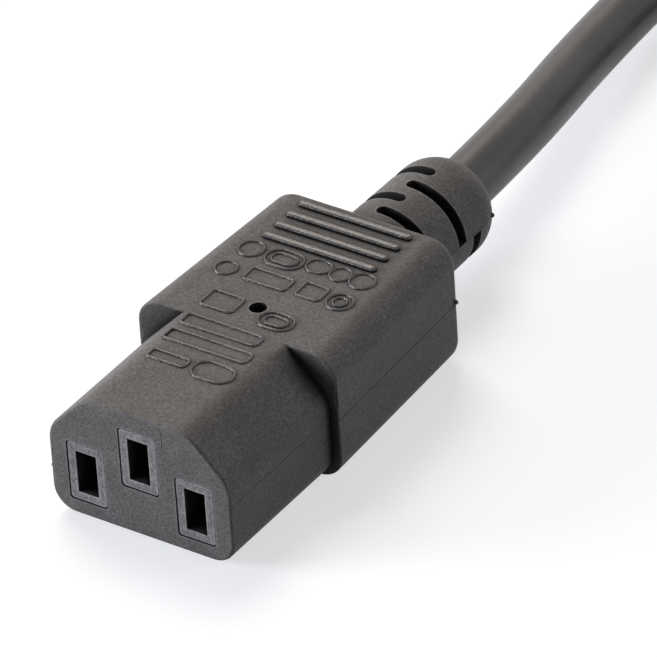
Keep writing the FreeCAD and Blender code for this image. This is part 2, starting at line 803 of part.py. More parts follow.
plug_place = Placement(Vector(PLUG_X, PLUG_Y, 0), Rotation())
plug_pins = []
plug_cores = []
for name, (x, z, tip) in PLUG_PINS.items():
    plug_pins.append(plug_pin(name, x, z, tip))
    across, up = jacket_place("plug", name, "0", PLUG_AXIS)
    plug_cores.append(core("core_" + name, (x, PLUG_CRIMP_END, z), (across, PLUG_JACKET, up)))
plug_block = box("plug_block", about("0", "plug_carrier_width"), ("cavity_depth", PLUG_CARRIER_END),
                 about(PLUG_AXIS, "plug_carrier_height"))
plug_carrier = cut("plug_carrier_shape", plug_block, compound("plug_pins", plug_pins))
plug_filling = compound("plug_filling", [plug_block] + plug_pins + plug_cores)
plug_shell = cut("plug_shell", plug_moulding(), plug_filling)
doc.recompute()
plug_shell_placed = piece("plug_shell_placed", plug_shell.Shape.copy(), plug_place)
plug_body = cut("plug_body", plug_shell_placed, trunk)
plug_inner = [piece("plug_carrier", plug_carrier.Shape.copy(), plug_place)]
plug_inner += [piece("plug_" + item.Label, item.Shape.copy(), plug_place) for item in plug_pins + plug_cores]


# Junction: collar for the two branches, block over the splices, taper and grooved relief for the trunk
def junction_moulding():
    body = doc.addObject("PartDesign::Body", "junction_moulding")
    block_section = sketch_across(body, "block_section", "junction_collar_length")
    outline(block_section, *rounded_rectangle("junction_width", "junction_height", "junction_long_radius",
                                              "0", JUNCTION_AXIS))
    block = pad(body, "block", block_section, "junction_body_length", reverse=True)
    round_rim(body, "block_rim", block, "junction_collar_length", "junction_edge_radius")
    wide = sketch_across(body, "taper_front", TAPER_START)
    outline(wide, *rounded_rectangle("junction_width", "junction_height", "junction_long_radius",
                                     "0", JUNCTION_AXIS))
    narrow = sketch_across(body, "taper_back", JUNCTION_NECK)
    outline(narrow, *rounded_rectangle("junction_neck_width", "junction_neck_height", "junction_long_radius",
                                       "0", JUNCTION_AXIS))
    taper = loft(body, "taper", wide, narrow)
    round_rim(body, "neck_rim", taper, JUNCTION_NECK, "junction_edge_radius")

    collar_section = sketch_across(body, "collar_section", "0")
    collar_outline = rounded_rectangle("junction_collar_width", "junction_collar_height",
                                       "junction_collar_radius", "0", JUNCTION_AXIS)
    outline(collar_section, *collar_outline)
    collar = pad(body, "collar", collar_section, "junction_collar_length + nose_lap", reverse=True)
    round_rim(body, "collar_rim", collar, "0", "junction_edge_radius")
    band = sketch_across(body, "band_section", "groove_pitch")
    outline(band, rectangle("(junction_collar_width + overshoot)", "(junction_collar_height + overshoot)",
                            "0", JUNCTION_AXIS))
    outline(band, *rounded_rectangle("(junction_collar_width - 2 * groove_depth)",
                                     "(junction_collar_height - 2 * groove_depth)",
                                     "(junction_collar_radius - groove_depth)", "0", JUNCTION_AXIS))
    groove = pocket(body, "collar_groove", band, "groove_width", middle=True)
    repeat_along_y(body, "collar_grooves", [groove], "groove_pitch", "2")

    relief = sketch_along(body, "relief_profile", JUNCTION_AXIS)
    outline(relief, [
        (TAPER_START, "0"),
        (TAPER_START, "junction_relief_root - nose_lap"),
        (JUNCTION_NECK, "junction_relief_root"),
        (JUNCTION_END, "junction_relief_end"),
        (JUNCTION_END, "0"),
    ])
    barrel = revolve(body, "Revolution", "relief", relief)
    round_rim(body, "relief_rim", barrel, JUNCTION_END, "groove_depth")
    ring = sketch_along(body, "ring_profile", JUNCTION_AXIS)
    ring_middle = "(%s + groove_pitch)" % JUNCTION_NECK
    outline(ring, [
        ("%s - groove_width / 2" % ring_middle, "junction_relief_end - groove_depth / 2"),
        ("%s + groove_width / 2" % ring_middle, "junction_relief_end - groove_depth / 2"),
        ("%s + groove_width / 2" % ring_middle, "junction_relief_root + overshoot"),
        ("%s - groove_width / 2" % ring_middle, "junction_relief_root + overshoot"),
    ])
    ring_groove = revolve(body, "Groove", "relief_groove", ring)
    repeat_along_y(body, "relief_grooves", [ring_groove], "2 * groove_pitch", "3")
    return body


def splice(name, x, z, width, height):
    """A crimped sleeve that joins three cores."""
    body = doc.addObject("PartDesign::Body", "splice_" + name)
    section = sketch_across(body, "sleeve_section", SPLICE_FRONT)
    outline(section, *rounded_rectangle(width, height, "splice_corner", x, z))
    pad(body, "sleeve", section, "splice_length", reverse=True)
    return body


LOW = "(%s - splice_rise)" % JUNCTION_AXIS
HIGH = "(%s + splice_rise)" % JUNCTION_AXIS
splices = [
    splice("line", "-splice_pitch", LOW, "splice_short", "splice_long"),
    splice("earth", "0", JUNCTION_AXIS, "splice_long", "splice_short"),
    splice("neutral", "splice_pitch", HIGH, "splice_short", "splice_long"),
]
# Each core's end at the splices: across, height, branch A first
SPLICE_ENDS = {
    "a": {
        "line": ("-splice_pitch", LOW + " + splice_core_gap / 2"),
        "earth": ("-earth_core_gap / 2", JUNCTION_AXIS),
        "neutral": ("splice_pitch", HIGH + " + splice_core_gap / 2"),
    },
    "b": {
        "line": ("-splice_pitch", LOW + " - splice_core_gap / 2"),
        "earth": ("earth_core_gap / 2", JUNCTION_AXIS),
        "neutral": ("splice_pitch", HIGH + " - splice_core_gap / 2"),
    },
}
PORT = {"a": "-branch_spacing / 2", "b": "branch_spacing / 2"}
TRUNK_ENDS = {
    "line": ("-splice_pitch", LOW),
    "earth": ("0", JUNCTION_AXIS),
    "neutral": ("splice_pitch", HIGH),
}
junction_cores = []
for branch, ends in SPLICE_ENDS.items():
    for name, (x, z) in ends.items():
        across, up = jacket_place(branch, name, PORT[branch], JUNCTION_AXIS)
        junction_cores.append(core("core_%s_%s" % (branch, name), (across, "junction_jacket_depth", up),
                                   (x, SPLICE_FRONT, z)))
for name, (x, z) in TRUNK_ENDS.items():
    across, up = jacket_place("trunk", name, "0", JUNCTION_AXIS)
    junction_cores.append(core("core_trunk_" + name, (x, SPLICE_BACK, z), (across, TRUNK_JACKET, up)))
junction_filling = compound("junction_filling", splices + junction_cores)
junction_shell = cut("junction_shell", junction_moulding(), junction_filling)
doc.recompute()
junction_place = Placement(Vector(JUNCTION_X, JUNCTION_Y, 0), Rotation())
junction_shell_placed = piece("junction_shell_placed", junction_shell.Shape.copy(), junction_place)
junction_cords = compound("junction_cords", [branch_a, branch_b, trunk])
junction_body = cut("junction_body", junction_shell_placed, junction_cords)
junction_inner = [
    piece("junction_" + item.Label, item.Shape.copy(), junction_place) for item in splices + junction_cores
]


# Tie: a soft strap wound round both branches, its end lapped over the top
def cord_tie():
    body = doc.addObject("PartDesign::Body", "tie_shape")
    inner_height = "(cord_diameter + 2 * tie_slack)"
    inner_width = "(tie_spacing + %s)" % inner_height
    inner_radius = "(%s / 2 - tie_flat / 2)" % inner_height
    outer_radius = "(%s + tie_thickness)" % inner_radius
    section = sketch_across(body, "strap_section", "0")
    outline(section, *rounded_rectangle("(%s + 2 * tie_thickness)" % inner_width,
                                        "(%s + 2 * tie_thickness)" % inner_height, outer_radius))
    outline(section, *rounded_rectangle(inner_width, inner_height, inner_radius))
    strap = pad(body, "strap", section, "tie_width", middle=True)
    top = "(%s / 2 + tie_thickness)" % inner_height
    tail = sketch_across(body, "tail_section", "0")
    outline(tail, [
        ("-tie_tail_length / 2", "%s - tie_thickness / 2" % top),
        ("tie_tail_length / 2", "%s - tie_thickness / 2" % top),
        ("tie_tail_length / 2", "%s + tie_thickness / 2" % top),
        ("-tie_tail_length / 2", "%s + tie_thickness" % top),
    ])
    pad(body, "tail", tail, "tie_width", middle=True)
    return body


tie_shape = cord_tie()
doc.recompute()
tie_height = number("cord_diameter / 2 + tie_slack + tie_thickness")
tie = piece("cord_tie", tie_shape.Shape.copy(), Placement(Vector(TIE_X, TIE_Y, tie_height), Rotation()))
doc.recompute()

# Check and write every piece
sub_parts = [socket_a_body] + socket_a_filling
sub_parts += [socket_b_body] + socket_b_filling
sub_parts += [plug_body] + plug_inner
sub_parts += [junction_body] + junction_inner
sub_parts += [branch_a, branch_b, trunk, tie]
for item in doc.Objects:
    if {"Invalid", "Error"} & set(item.State):
        raise RuntimeError("%s did not build: %s" % (item.Label, item.State))
os.makedirs("parts", exist_ok=True)
for item in sub_parts:
    if item.Shape.isNull() or not item.Shape.isValid():
        raise RuntimeError("%s has no valid shape" % item.Label)
    if len(item.Shape.Solids) != 1:
        raise RuntimeError("%s is in %d pieces" % (item.Label, len(item.Shape.Solids)))
    print("%s: %.0f mm3" % (item.Label, item.Shape.Volume))
    item.Shape.exportStep("parts/%s.step" % item.Label)
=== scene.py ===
"""Y splitter power cord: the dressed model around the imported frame.

Metres, in the frame's own axes: the first socket lies along Y with its contact face towards -Y.
"""
import json
import math

import bmesh
import bpy
import numpy as np
from bpy.props import FloatProperty, PointerProperty, StringProperty
from mathutils import Matrix, Vector

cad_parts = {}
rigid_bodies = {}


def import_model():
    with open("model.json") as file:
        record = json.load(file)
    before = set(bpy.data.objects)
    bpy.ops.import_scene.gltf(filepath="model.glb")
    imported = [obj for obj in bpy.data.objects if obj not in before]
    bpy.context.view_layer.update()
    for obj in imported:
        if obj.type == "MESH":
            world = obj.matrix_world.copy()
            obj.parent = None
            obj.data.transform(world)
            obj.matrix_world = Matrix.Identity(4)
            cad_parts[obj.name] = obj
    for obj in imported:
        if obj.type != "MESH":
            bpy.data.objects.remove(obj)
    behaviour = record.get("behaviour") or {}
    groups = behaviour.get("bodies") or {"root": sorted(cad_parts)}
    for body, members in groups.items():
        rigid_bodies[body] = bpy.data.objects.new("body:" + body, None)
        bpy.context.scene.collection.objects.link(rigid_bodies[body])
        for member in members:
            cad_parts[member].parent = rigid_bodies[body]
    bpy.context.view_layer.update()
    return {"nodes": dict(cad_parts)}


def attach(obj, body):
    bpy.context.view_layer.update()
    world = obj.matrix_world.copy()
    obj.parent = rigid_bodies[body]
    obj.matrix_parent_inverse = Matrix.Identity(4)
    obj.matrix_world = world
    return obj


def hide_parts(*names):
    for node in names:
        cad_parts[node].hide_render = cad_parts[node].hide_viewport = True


bl_info = {
    "name": "Y splitter power cord",
    "version": (1, 0, 0),
    "blender": (4, 5, 0),
    "location": "View3D > Sidebar > Power cord",
    "description": "Dresses a Y splitter power cord: mouldings, cords, tie, raised blanks and stage",
    "category": "Object",
}

MM = 0.001
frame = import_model()
NODES = frame["nodes"]

# Sizes of a socket, as in the part's source
SOCKET_LENGTH = 62.5 * MM
NOSE_LENGTH = 18.9 * MM
NOSE_HALF = 11.7 * MM
NOSE_CHAMFER = 5.1 * MM
CHAMFER_RADIUS = 1.2 * MM
GRIP_LENGTH = 25.8 * MM
GRIP_FRONT_HALF = 12.9 * MM
GRIP_BACK_HALF = 11.7 * MM
GRIP_TOP = 15.8 * MM
RELIEF_LENGTH = 17.8 * MM
RELIEF_ROOT_RADIUS = 6.25 * MM
RELIEF_END_RADIUS = 6.1 * MM
RELIEF_NOSE = 4.2 * MM
RELIEF_DOME_RADIUS = 4.7 * MM

# Places along the first socket, and the height of its axis
FACE_Y = -SOCKET_LENGTH / 2
STEP_Y = FACE_Y + NOSE_LENGTH
GRIP_END_Y = STEP_Y + GRIP_LENGTH
SOCKET_END_Y = GRIP_END_Y + RELIEF_LENGTH
SOCKET_AXIS = GRIP_TOP / 2

# Places of the second socket, the plug, the junction and the tie
SECOND_SOCKET = (43.8 * MM, 146.9 * MM)
PLUG = (40.0 * MM, 182.2 * MM)
PLUG_LENGTH = 58.0 * MM
PLUG_AXIS = 10.9 * MM
JUNCTION_X = -3.0 * MM
JUNCTION_Y = 151.7 * MM
JUNCTION_LENGTH = 44.0 * MM
JUNCTION_AXIS = 6.0 * MM
BRANCH_B_X = 0.8 * MM
TIE = (-3.25 * MM, 122.2 * MM)

# Routes of the cords, the same corners as in the part's source, in millimetres
BRANCH_A_ROUTE = [
    (0.0, 14.25, 7.9),
    (0.0, 39.2, 7.9),
    (-6.8, 73.5, 4.1),
    (-7.3, 110.7, 4.5),
    (-6.8, 138.7, 6.0),
    (-6.8, 163.7, 6.0),
]
BRANCH_B_ROUTE = [
    (0.8, 163.7, 6.0),
    (0.8, 139.7, 6.0),
    (0.5, 115.3, 4.4),
    (0.8, 97.3, 3.6),
    (13.4, 84.7, 3.4),
    (31.2, 84.7, 4.3),
    (43.8, 97.3, 6.3),
    (43.8, 115.6, 7.9),
    (43.8, 132.65, 7.9),
]
TRUNK_ROUTE = [
    (-3.0, 183.7, 6.0),
    (-3.0, 207.7, 6.0),
    (-2.5, 235.7, 4.2),
    (-2.9, 259.2, 3.5),
    (9.6, 271.8, 4.3),
    (27.4, 271.8, 6.6),
    (40.0, 259.2, 9.2),
    (40.0, 240.8, 10.9),
    (40.0, 223.2, 10.9),
]

# Lengths of the cords with their ends inside the mouldings
BRANCH_A_LENGTH = 0.1501
BRANCH_B_LENGTH = 0.1522
TRUNK_LENGTH = 0.1620


# Colour and nodes
def linear(code):
    """Linear colour of an sRGB hex value."""
    channels = [int(code[index:index + 2], 16) / 255 for index in (1, 3, 5)]
    light = [c / 12.92 if c <= 0.04045 else ((c + 0.055) / 1.055) ** 2.4 for c in channels]
    return (*light, 1.0)


def add_node(tree, kind, inputs=None, **settings):
    """Add a node with its settings; an input is a value or another node's output."""
    node = tree.nodes.new("ShaderNode" + kind)
    for name, value in settings.items():
        setattr(node, name, value)
    for key, value in (inputs or {}).items():
        if isinstance(value, bpy.types.NodeSocket):
            tree.links.new(value, node.inputs[key])
        else:
            node.inputs[key].default_value = value
    return node


def new_material(name):
    """An empty node material and its tree."""
    material = bpy.data.materials.new(name)
    material.use_nodes = True
    material.node_tree.nodes.clear()
    return material, material.node_tree


def finish_material(tree, surface):
    """Give the tree its output."""
    add_node(tree, "OutputMaterial", {"Surface": surface})


# Materials
DUST_SIZE = 0.55 * MM
NEAR_SHADE = 0.8 * MM
PAINTED_SHADE_POWER = 2.6
CORNER_DEPTH = 0.35 * MM
GLOSS_RANGE = 0.06


def grained_plastic(name, dark, light, roughness, grain_mm, grain_depth_mm, cloud_mm, contrast,
                    specular, painted_shade_mm=4.0, wear_and_highlight=0.6):
    """Moulded or extruded thermoplastic: two close colours in soft clouds, under a fine grain.

    The grain is a bump and a change of brightness by up to the contrast, because its pits hold shade.
    Sparse pale specks are dust. Painted shade darkens the piece's own hollows, as wide
    as the given reach, and what lies close to another piece. Corners are paler by up to
    the given amount: partly wear from handling, partly a painted highlight along the edges.
    """
    material, tree = new_material(name)
    place = add_node(tree, "TexCoord").outputs["Object"]
    clouds = add_node(tree, "TexNoise", {
        "Vector": place, "Scale": 1 / (cloud_mm * MM), "Detail": 4.0, "Roughness": 0.6})
    grain = add_node(tree, "TexNoise", {
        "Vector": place, "Scale": 1 / (grain_mm * MM), "Detail": 3.0, "Roughness": 0.65})
    dust = add_node(tree, "TexNoise", {
        "Vector": place, "Scale": 1 / DUST_SIZE, "Detail": 1.0, "Roughness": 0.4})
    tone = add_node(tree, "MapRange", {
        "Value": clouds.outputs["Fac"], "From Min": 0.35, "From Max": 0.65})
    colour = add_node(tree, "MixRGB", {
        "Fac": tone.outputs["Result"], "Color1": linear(dark), "Color2": linear(light)})
    shade = add_node(tree, "MapRange", {
        "Value": grain.outputs["Fac"], "From Min": 0.3, "From Max": 0.7,
        "To Min": 1 - contrast, "To Max": 1 + contrast})
    speck = add_node(tree, "MapRange", {
        "Value": dust.outputs["Fac"], "From Min": 0.72, "From Max": 0.78, "To Min": 0.0, "To Max": 0.6})
    # painted shade: ambient occlusion darkens the colour in the piece's own hollows and where another
    # piece lies close
    own_form = add_node(tree, "AmbientOcclusion", {
        "Distance": painted_shade_mm * MM}, samples=6, only_local=True)
    close_by = add_node(tree, "AmbientOcclusion", {"Distance": NEAR_SHADE}, samples=4)
    open_sky = add_node(tree, "Math", {
        0: own_form.outputs["AO"], 1: close_by.outputs["AO"]}, operation="MULTIPLY")
    painted_shade = add_node(tree, "Math", {0: open_sky.outputs["Value"], 1: PAINTED_SHADE_POWER}, operation="POWER")
    # painted highlight and wear: thin convex edges, found by ambient occlusion inside, are paler
    thick = add_node(tree, "AmbientOcclusion", {
        "Distance": CORNER_DEPTH}, samples=6, inside=True, only_local=True)
    edge_wear_and_highlight = add_node(tree, "MapRange", {
        "Value": thick.outputs["AO"], "From Min": 0.92, "From Max": 0.5, "To Min": 0.0, "To Max": wear_and_highlight})
    dusty = add_node(tree, "Math", {
        0: shade.outputs["Result"], 1: speck.outputs["Result"]}, operation="ADD")
    grain_dust_and_edges = add_node(tree, "Math", {
        0: dusty.outputs["Value"], 1: edge_wear_and_highlight.outputs["Result"]}, operation="ADD")
    level = add_node(tree, "Math", {
        0: grain_dust_and_edges.outputs["Value"], 1: painted_shade.outputs["Value"]}, operation="MULTIPLY")
    surface = add_node(tree, "VectorMath", {
        0: colour.outputs["Color"], 1: level.outputs["Value"]}, operation="MULTIPLY")
    gloss = add_node(tree, "MapRange", {
        "Value": clouds.outputs["Fac"], "From Min": 0.3, "From Max": 0.7,
        "To Min": roughness - GLOSS_RANGE, "To Max": roughness + GLOSS_RANGE})
    bump = add_node(tree, "Bump", {
        "Height": grain.outputs["Fac"], "Distance": grain_depth_mm * MM, "Strength": 0.7})
    plastic = add_node(tree, "BsdfPrincipled", {
        "Base Color": surface.outputs["Vector"], "Roughness": gloss.outputs["Result"],
        "IOR": 1.5, "Specular IOR Level": specular, "Normal": bump.outputs["Normal"]})
    finish_material(tree, plastic.outputs["BSDF"])
    return material


def flexible_pvc(settings):
    """Flexible PVC moulded over the connectors: a matt grain, black that looks warm grey in light."""
    return grained_plastic(
        "flexible_pvc_overmould", settings.moulding_dark, settings.moulding_light, roughness=0.6,
        grain_mm=0.30, grain_depth_mm=0.05, cloud_mm=5.0, contrast=0.45, specular=0.15)


def rubbed_pvc(settings):
    """The same PVC on what stands proud of it: rubbed smooth and glossy, with shining edges, and
    painted darker for the shade along its sides.
    """
    return grained_plastic(
        "rubbed_pvc", settings.proud_dark_painted_shade, settings.proud_light_painted_shade, roughness=0.26,
        grain_mm=0.30, grain_depth_mm=0.08, cloud_mm=5.0, contrast=0.45, specular=0.5, wear_and_highlight=0.12)


def carrier_plastic(settings):
    """Glass-filled polyester, moulded: the carrier is greyer than the overmould, with finer clouds."""
    # painted shade reaches further on the carrier, to darken its slots
    return grained_plastic(
        "polyester_carrier", settings.carrier_dark, settings.carrier_light, roughness=0.6,
        grain_mm=0.34, grain_depth_mm=0.05, cloud_mm=1.6, contrast=0.5, specular=0.15, painted_shade_mm=8.0)


def jacket_pvc(settings):
    """Extruded PVC jacket: smoother than the mouldings, with a soft sheen along the cord."""
    return grained_plastic(
        "extruded_pvc_jacket", settings.jacket_dark, settings.jacket_light, roughness=0.38,
        grain_mm=0.40, grain_depth_mm=0.02, cloud_mm=7.0, contrast=0.25, specular=0.4)


def core_pvc(name, code):
    """Hard PVC insulation of one core, extruded: a plain colour, smooth and slightly glossy."""
    return grained_plastic(
        "insulation_" + name, code, code, roughness=0.4,
        grain_mm=0.3, grain_depth_mm=0.004, cloud_mm=4.0, contrast=0.1, specular=0.5)


def stamped_brass():
    """Brass strip, drawn and stamped: a satin yellow metal with fine streaks along it."""
    streak_width = 0.2 * MM
    material, tree = new_material("stamped_brass")
    place = add_node(tree, "TexCoord").outputs["Object"]
    drawn = add_node(tree, "Mapping", {"Vector": place, "Scale": (1.0, 0.08, 1.0)})
    streaks = add_node(tree, "TexNoise", {
        "Vector": drawn.outputs["Vector"], "Scale": 1 / streak_width, "Detail": 3.0})
    gloss = add_node(tree, "MapRange", {
        "Value": streaks.outputs["Fac"], "To Min": 0.25, "To Max": 0.45})
    colour = add_node(tree, "MixRGB", {
        "Fac": streaks.outputs["Fac"], "Color1": linear("#b08d45"), "Color2": linear("#d0ad62")})
    metal = add_node(tree, "BsdfPrincipled", {
        "Base Color": colour.outputs["Color"], "Metallic": 1.0, "Roughness": gloss.outputs["Result"]})
    finish_material(tree, metal.outputs["BSDF"])
    return material


def nylon_strap():
    """Woven nylon hook-and-loop strap: a soft dark plain weave, its threads drawn coarse to show."""
    thread = 0.6 * MM
    fibre = 0.25 * MM
    thread_height = 0.06 * MM
    material, tree = new_material("nylon_strap")
    place = add_node(tree, "UVMap").outputs["UV"]
    weave = add_node(tree, "TexChecker", {"Vector": place, "Scale": 1 / thread})
    fuzz = add_node(tree, "TexNoise", {"Vector": place, "Scale": 1 / fibre, "Detail": 3.0})
    colour = add_node(tree, "MixRGB", {
        "Fac": fuzz.outputs["Fac"], "Color1": linear("#1c1b1b"), "Color2": linear("#3a3838")})
    height = add_node(tree, "Math", {
        0: weave.outputs["Fac"], 1: fuzz.outputs["Fac"]}, operation="ADD")
    bump = add_node(tree, "Bump", {
        "Height": height.outputs["Value"], "Distance": thread_height, "Strength": 0.8})
    cloth = add_node(tree, "BsdfPrincipled", {
        "Base Color": colour.outputs["Color"], "Roughness": 0.85, "Sheen Weight": 0.3,
        "Normal": bump.outputs["Normal"]})
    finish_material(tree, cloth.outputs["BSDF"])
    return material


# Meshes
PIECE_SHARP_DEGREES = 35
BEAD_ANGLES = 7
OVAL_POINTS = 48


def new_piece(name, vertices, faces, material, uvs=None, smooth=True):
    """A mesh object at the origin, from an array of points and a list of faces."""
    mesh = bpy.data.meshes.new(name)
    points = np.asarray(vertices, float).reshape(-1, 3)
    mesh.from_pydata(points.tolist(), [], [list(face) for face in faces])
    mesh.update()
    if uvs is not None:
        layer = mesh.uv_layers.new(name="UVMap")
        corners = np.zeros(len(mesh.loops), int)
        mesh.loops.foreach_get("vertex_index", corners)
        layer.data.foreach_set("uv", np.asarray(uvs, float).reshape(-1, 2)[corners].ravel())
    if smooth:
        mesh.polygons.foreach_set("use_smooth", np.ones(len(mesh.polygons), bool))
        mesh.set_sharp_from_angle(angle=math.radians(PIECE_SHARP_DEGREES))
    piece = bpy.data.objects.new(name, mesh)
    piece.data.materials.append(material)
    bpy.context.scene.collection.objects.link(piece)
    return piece


def grid_faces(rows, columns, closed_rows=False, closed_columns=False):
    """Quads of a grid of points, wound so that rows x columns points outwards; either way may close."""
    row_count = rows if closed_rows else rows - 1
    column_count = columns if closed_columns else columns - 1
    row, column = np.meshgrid(np.arange(row_count), np.arange(column_count), indexing="ij")
    next_row, next_column = (row + 1) % rows, (column + 1) % columns
    corners = [row * columns + column, next_row * columns + column,
               next_row * columns + next_column, row * columns + next_column]
    return np.stack(corners, axis=-1).reshape(-1, 4).tolist()


def end_faces(rows, columns):
    """The two faces that close a grid of rows at its first and last row."""
    return [list(range(columns)), list(range((rows - 1) * columns, rows * columns))[::-1]]


def placed(points, place):
    """Points moved by a matrix."""
    points = np.asarray(points, float)
    matrix = np.array(place)
    return points @ matrix[:3, :3].T + matrix[:3, 3]


def bead_along(path, outward, sideways, width, height, closed):
    """A low rounded bead carried along a path.

    At angle a of its half-ellipse a point is path + sideways * width/2 * cos(a)
    + outward * height * sin(a); its two feet dip by a third of the height into the surface.
    """
    foot = -height / 3
    angles = np.linspace(0, math.pi, BEAD_ANGLES)
    across = np.concatenate([[1.0], np.cos(angles), [-1.0]]) * width / 2
    up = np.concatenate([[foot], np.sin(angles) * height, [foot]])
    path = np.asarray(path, float)[:, None, :]
    outward = np.broadcast_to(np.asarray(outward, float), (path.shape[0], 3))[:, None, :]
    sideways = np.broadcast_to(np.asarray(sideways, float), (path.shape[0], 3))[:, None, :]
    points = path + sideways * across[None, :, None] + outward * up[None, :, None]
    rows, columns = points.shape[:2]
    faces = grid_faces(rows, columns, closed_rows=closed, closed_columns=True)
    if not closed:
        faces += end_faces(rows, columns)
    return points.reshape(-1, 3), faces


def oval_path(centre, width, length, corner):
    """A closed rounded rectangle: straight sides joined by quarter circles of the corner's radius.

    At angle a a point is the centre of its quarter's circle + the corner's radius in direction a.
    """
    corner = min(corner, width / 2, length / 2)
    angles = np.linspace(0, 2 * math.pi, OVAL_POINTS, endpoint=False) + math.pi / OVAL_POINTS
    turn = np.stack([np.cos(angles), np.sin(angles)], axis=1)
    inner = np.array([width / 2 - corner, length / 2 - corner])
    return np.asarray(centre) + np.sign(turn) * inner + turn * corner


def ring_normals(path):
    """Unit directions away from a closed flat path, from the difference of its neighbours."""
    along = np.roll(path, -1, axis=0) - np.roll(path, 1, axis=0)
    along /= np.linalg.norm(along, axis=1)[:, None]
    return np.stack([along[:, 1], -along[:, 0]], axis=1)


def vent_stub(centre, outward, radius, height):
    """A drop-shaped stub, half an ellipsoid with its foot inside the surface.

    At latitude a it is radius * cos(a) wide and stands height * sin(a) out.
    """
    foot, ring_count, spoke_count = -0.5, 9, 14
    outward = Vector(outward).normalized()
    first = outward.orthogonal().normalized()
    second = outward.cross(first)
    latitudes = np.linspace(foot, math.pi / 2, ring_count)[:-1]
    turns = np.linspace(0, 2 * math.pi, spoke_count, endpoint=False)
    latitude, turn = np.meshgrid(latitudes, turns, indexing="ij")
    points = np.asarray(centre) + radius * np.cos(latitude)[..., None] * (
        np.cos(turn)[..., None] * np.array(first) + np.sin(turn)[..., None] * np.array(second)) \
        + height * np.sin(latitude)[..., None] * np.array(outward)
    points = points.reshape(-1, 3)
    rows, columns = latitude.shape
    faces = grid_faces(rows, columns, closed_columns=True)
    faces.append(list(range(columns))[::-1])
    tip = len(points)
    points = np.vstack([points, np.asarray(centre) + height * np.array(outward)])
    last = (rows - 1) * columns
    faces += [[last + index, last + (index + 1) % columns, tip] for index in range(columns)]
    return points, faces


def join_parts(parts):
    """One list of points and faces from several."""
    points, faces, count = [], [], 0
    for part_points, part_faces in parts:
        points.append(part_points)
        faces += [[index + count for index in face] for face in part_faces]
        count += len(part_points)
    return np.concatenate(points), faces


def repair_normals(piece):
    """Turn a closed piece's faces outwards."""
    work = bmesh.new()
    work.from_mesh(piece.data)
    bmesh.ops.recalc_face_normals(work, faces=work.faces)
    work.to_mesh(piece.data)
    work.free()


# Shoulders of the noses: their rounding, the length over which it fades out and the cuts for it
SHOULDER_RADIUS = 4.0 * MM
SHOULDER_TURN = 45
SHOULDER_CUTS = 9
SHOULDER_FADE = 3.0 * MM
FADE_CUTS = 7
SHOULDER_BAND = 0.6 * MM
NOSE_MARGIN = 0.1 * MM
ANGLE_MARGIN = 1.001
CUT_TOLERANCE = 0.001 * MM


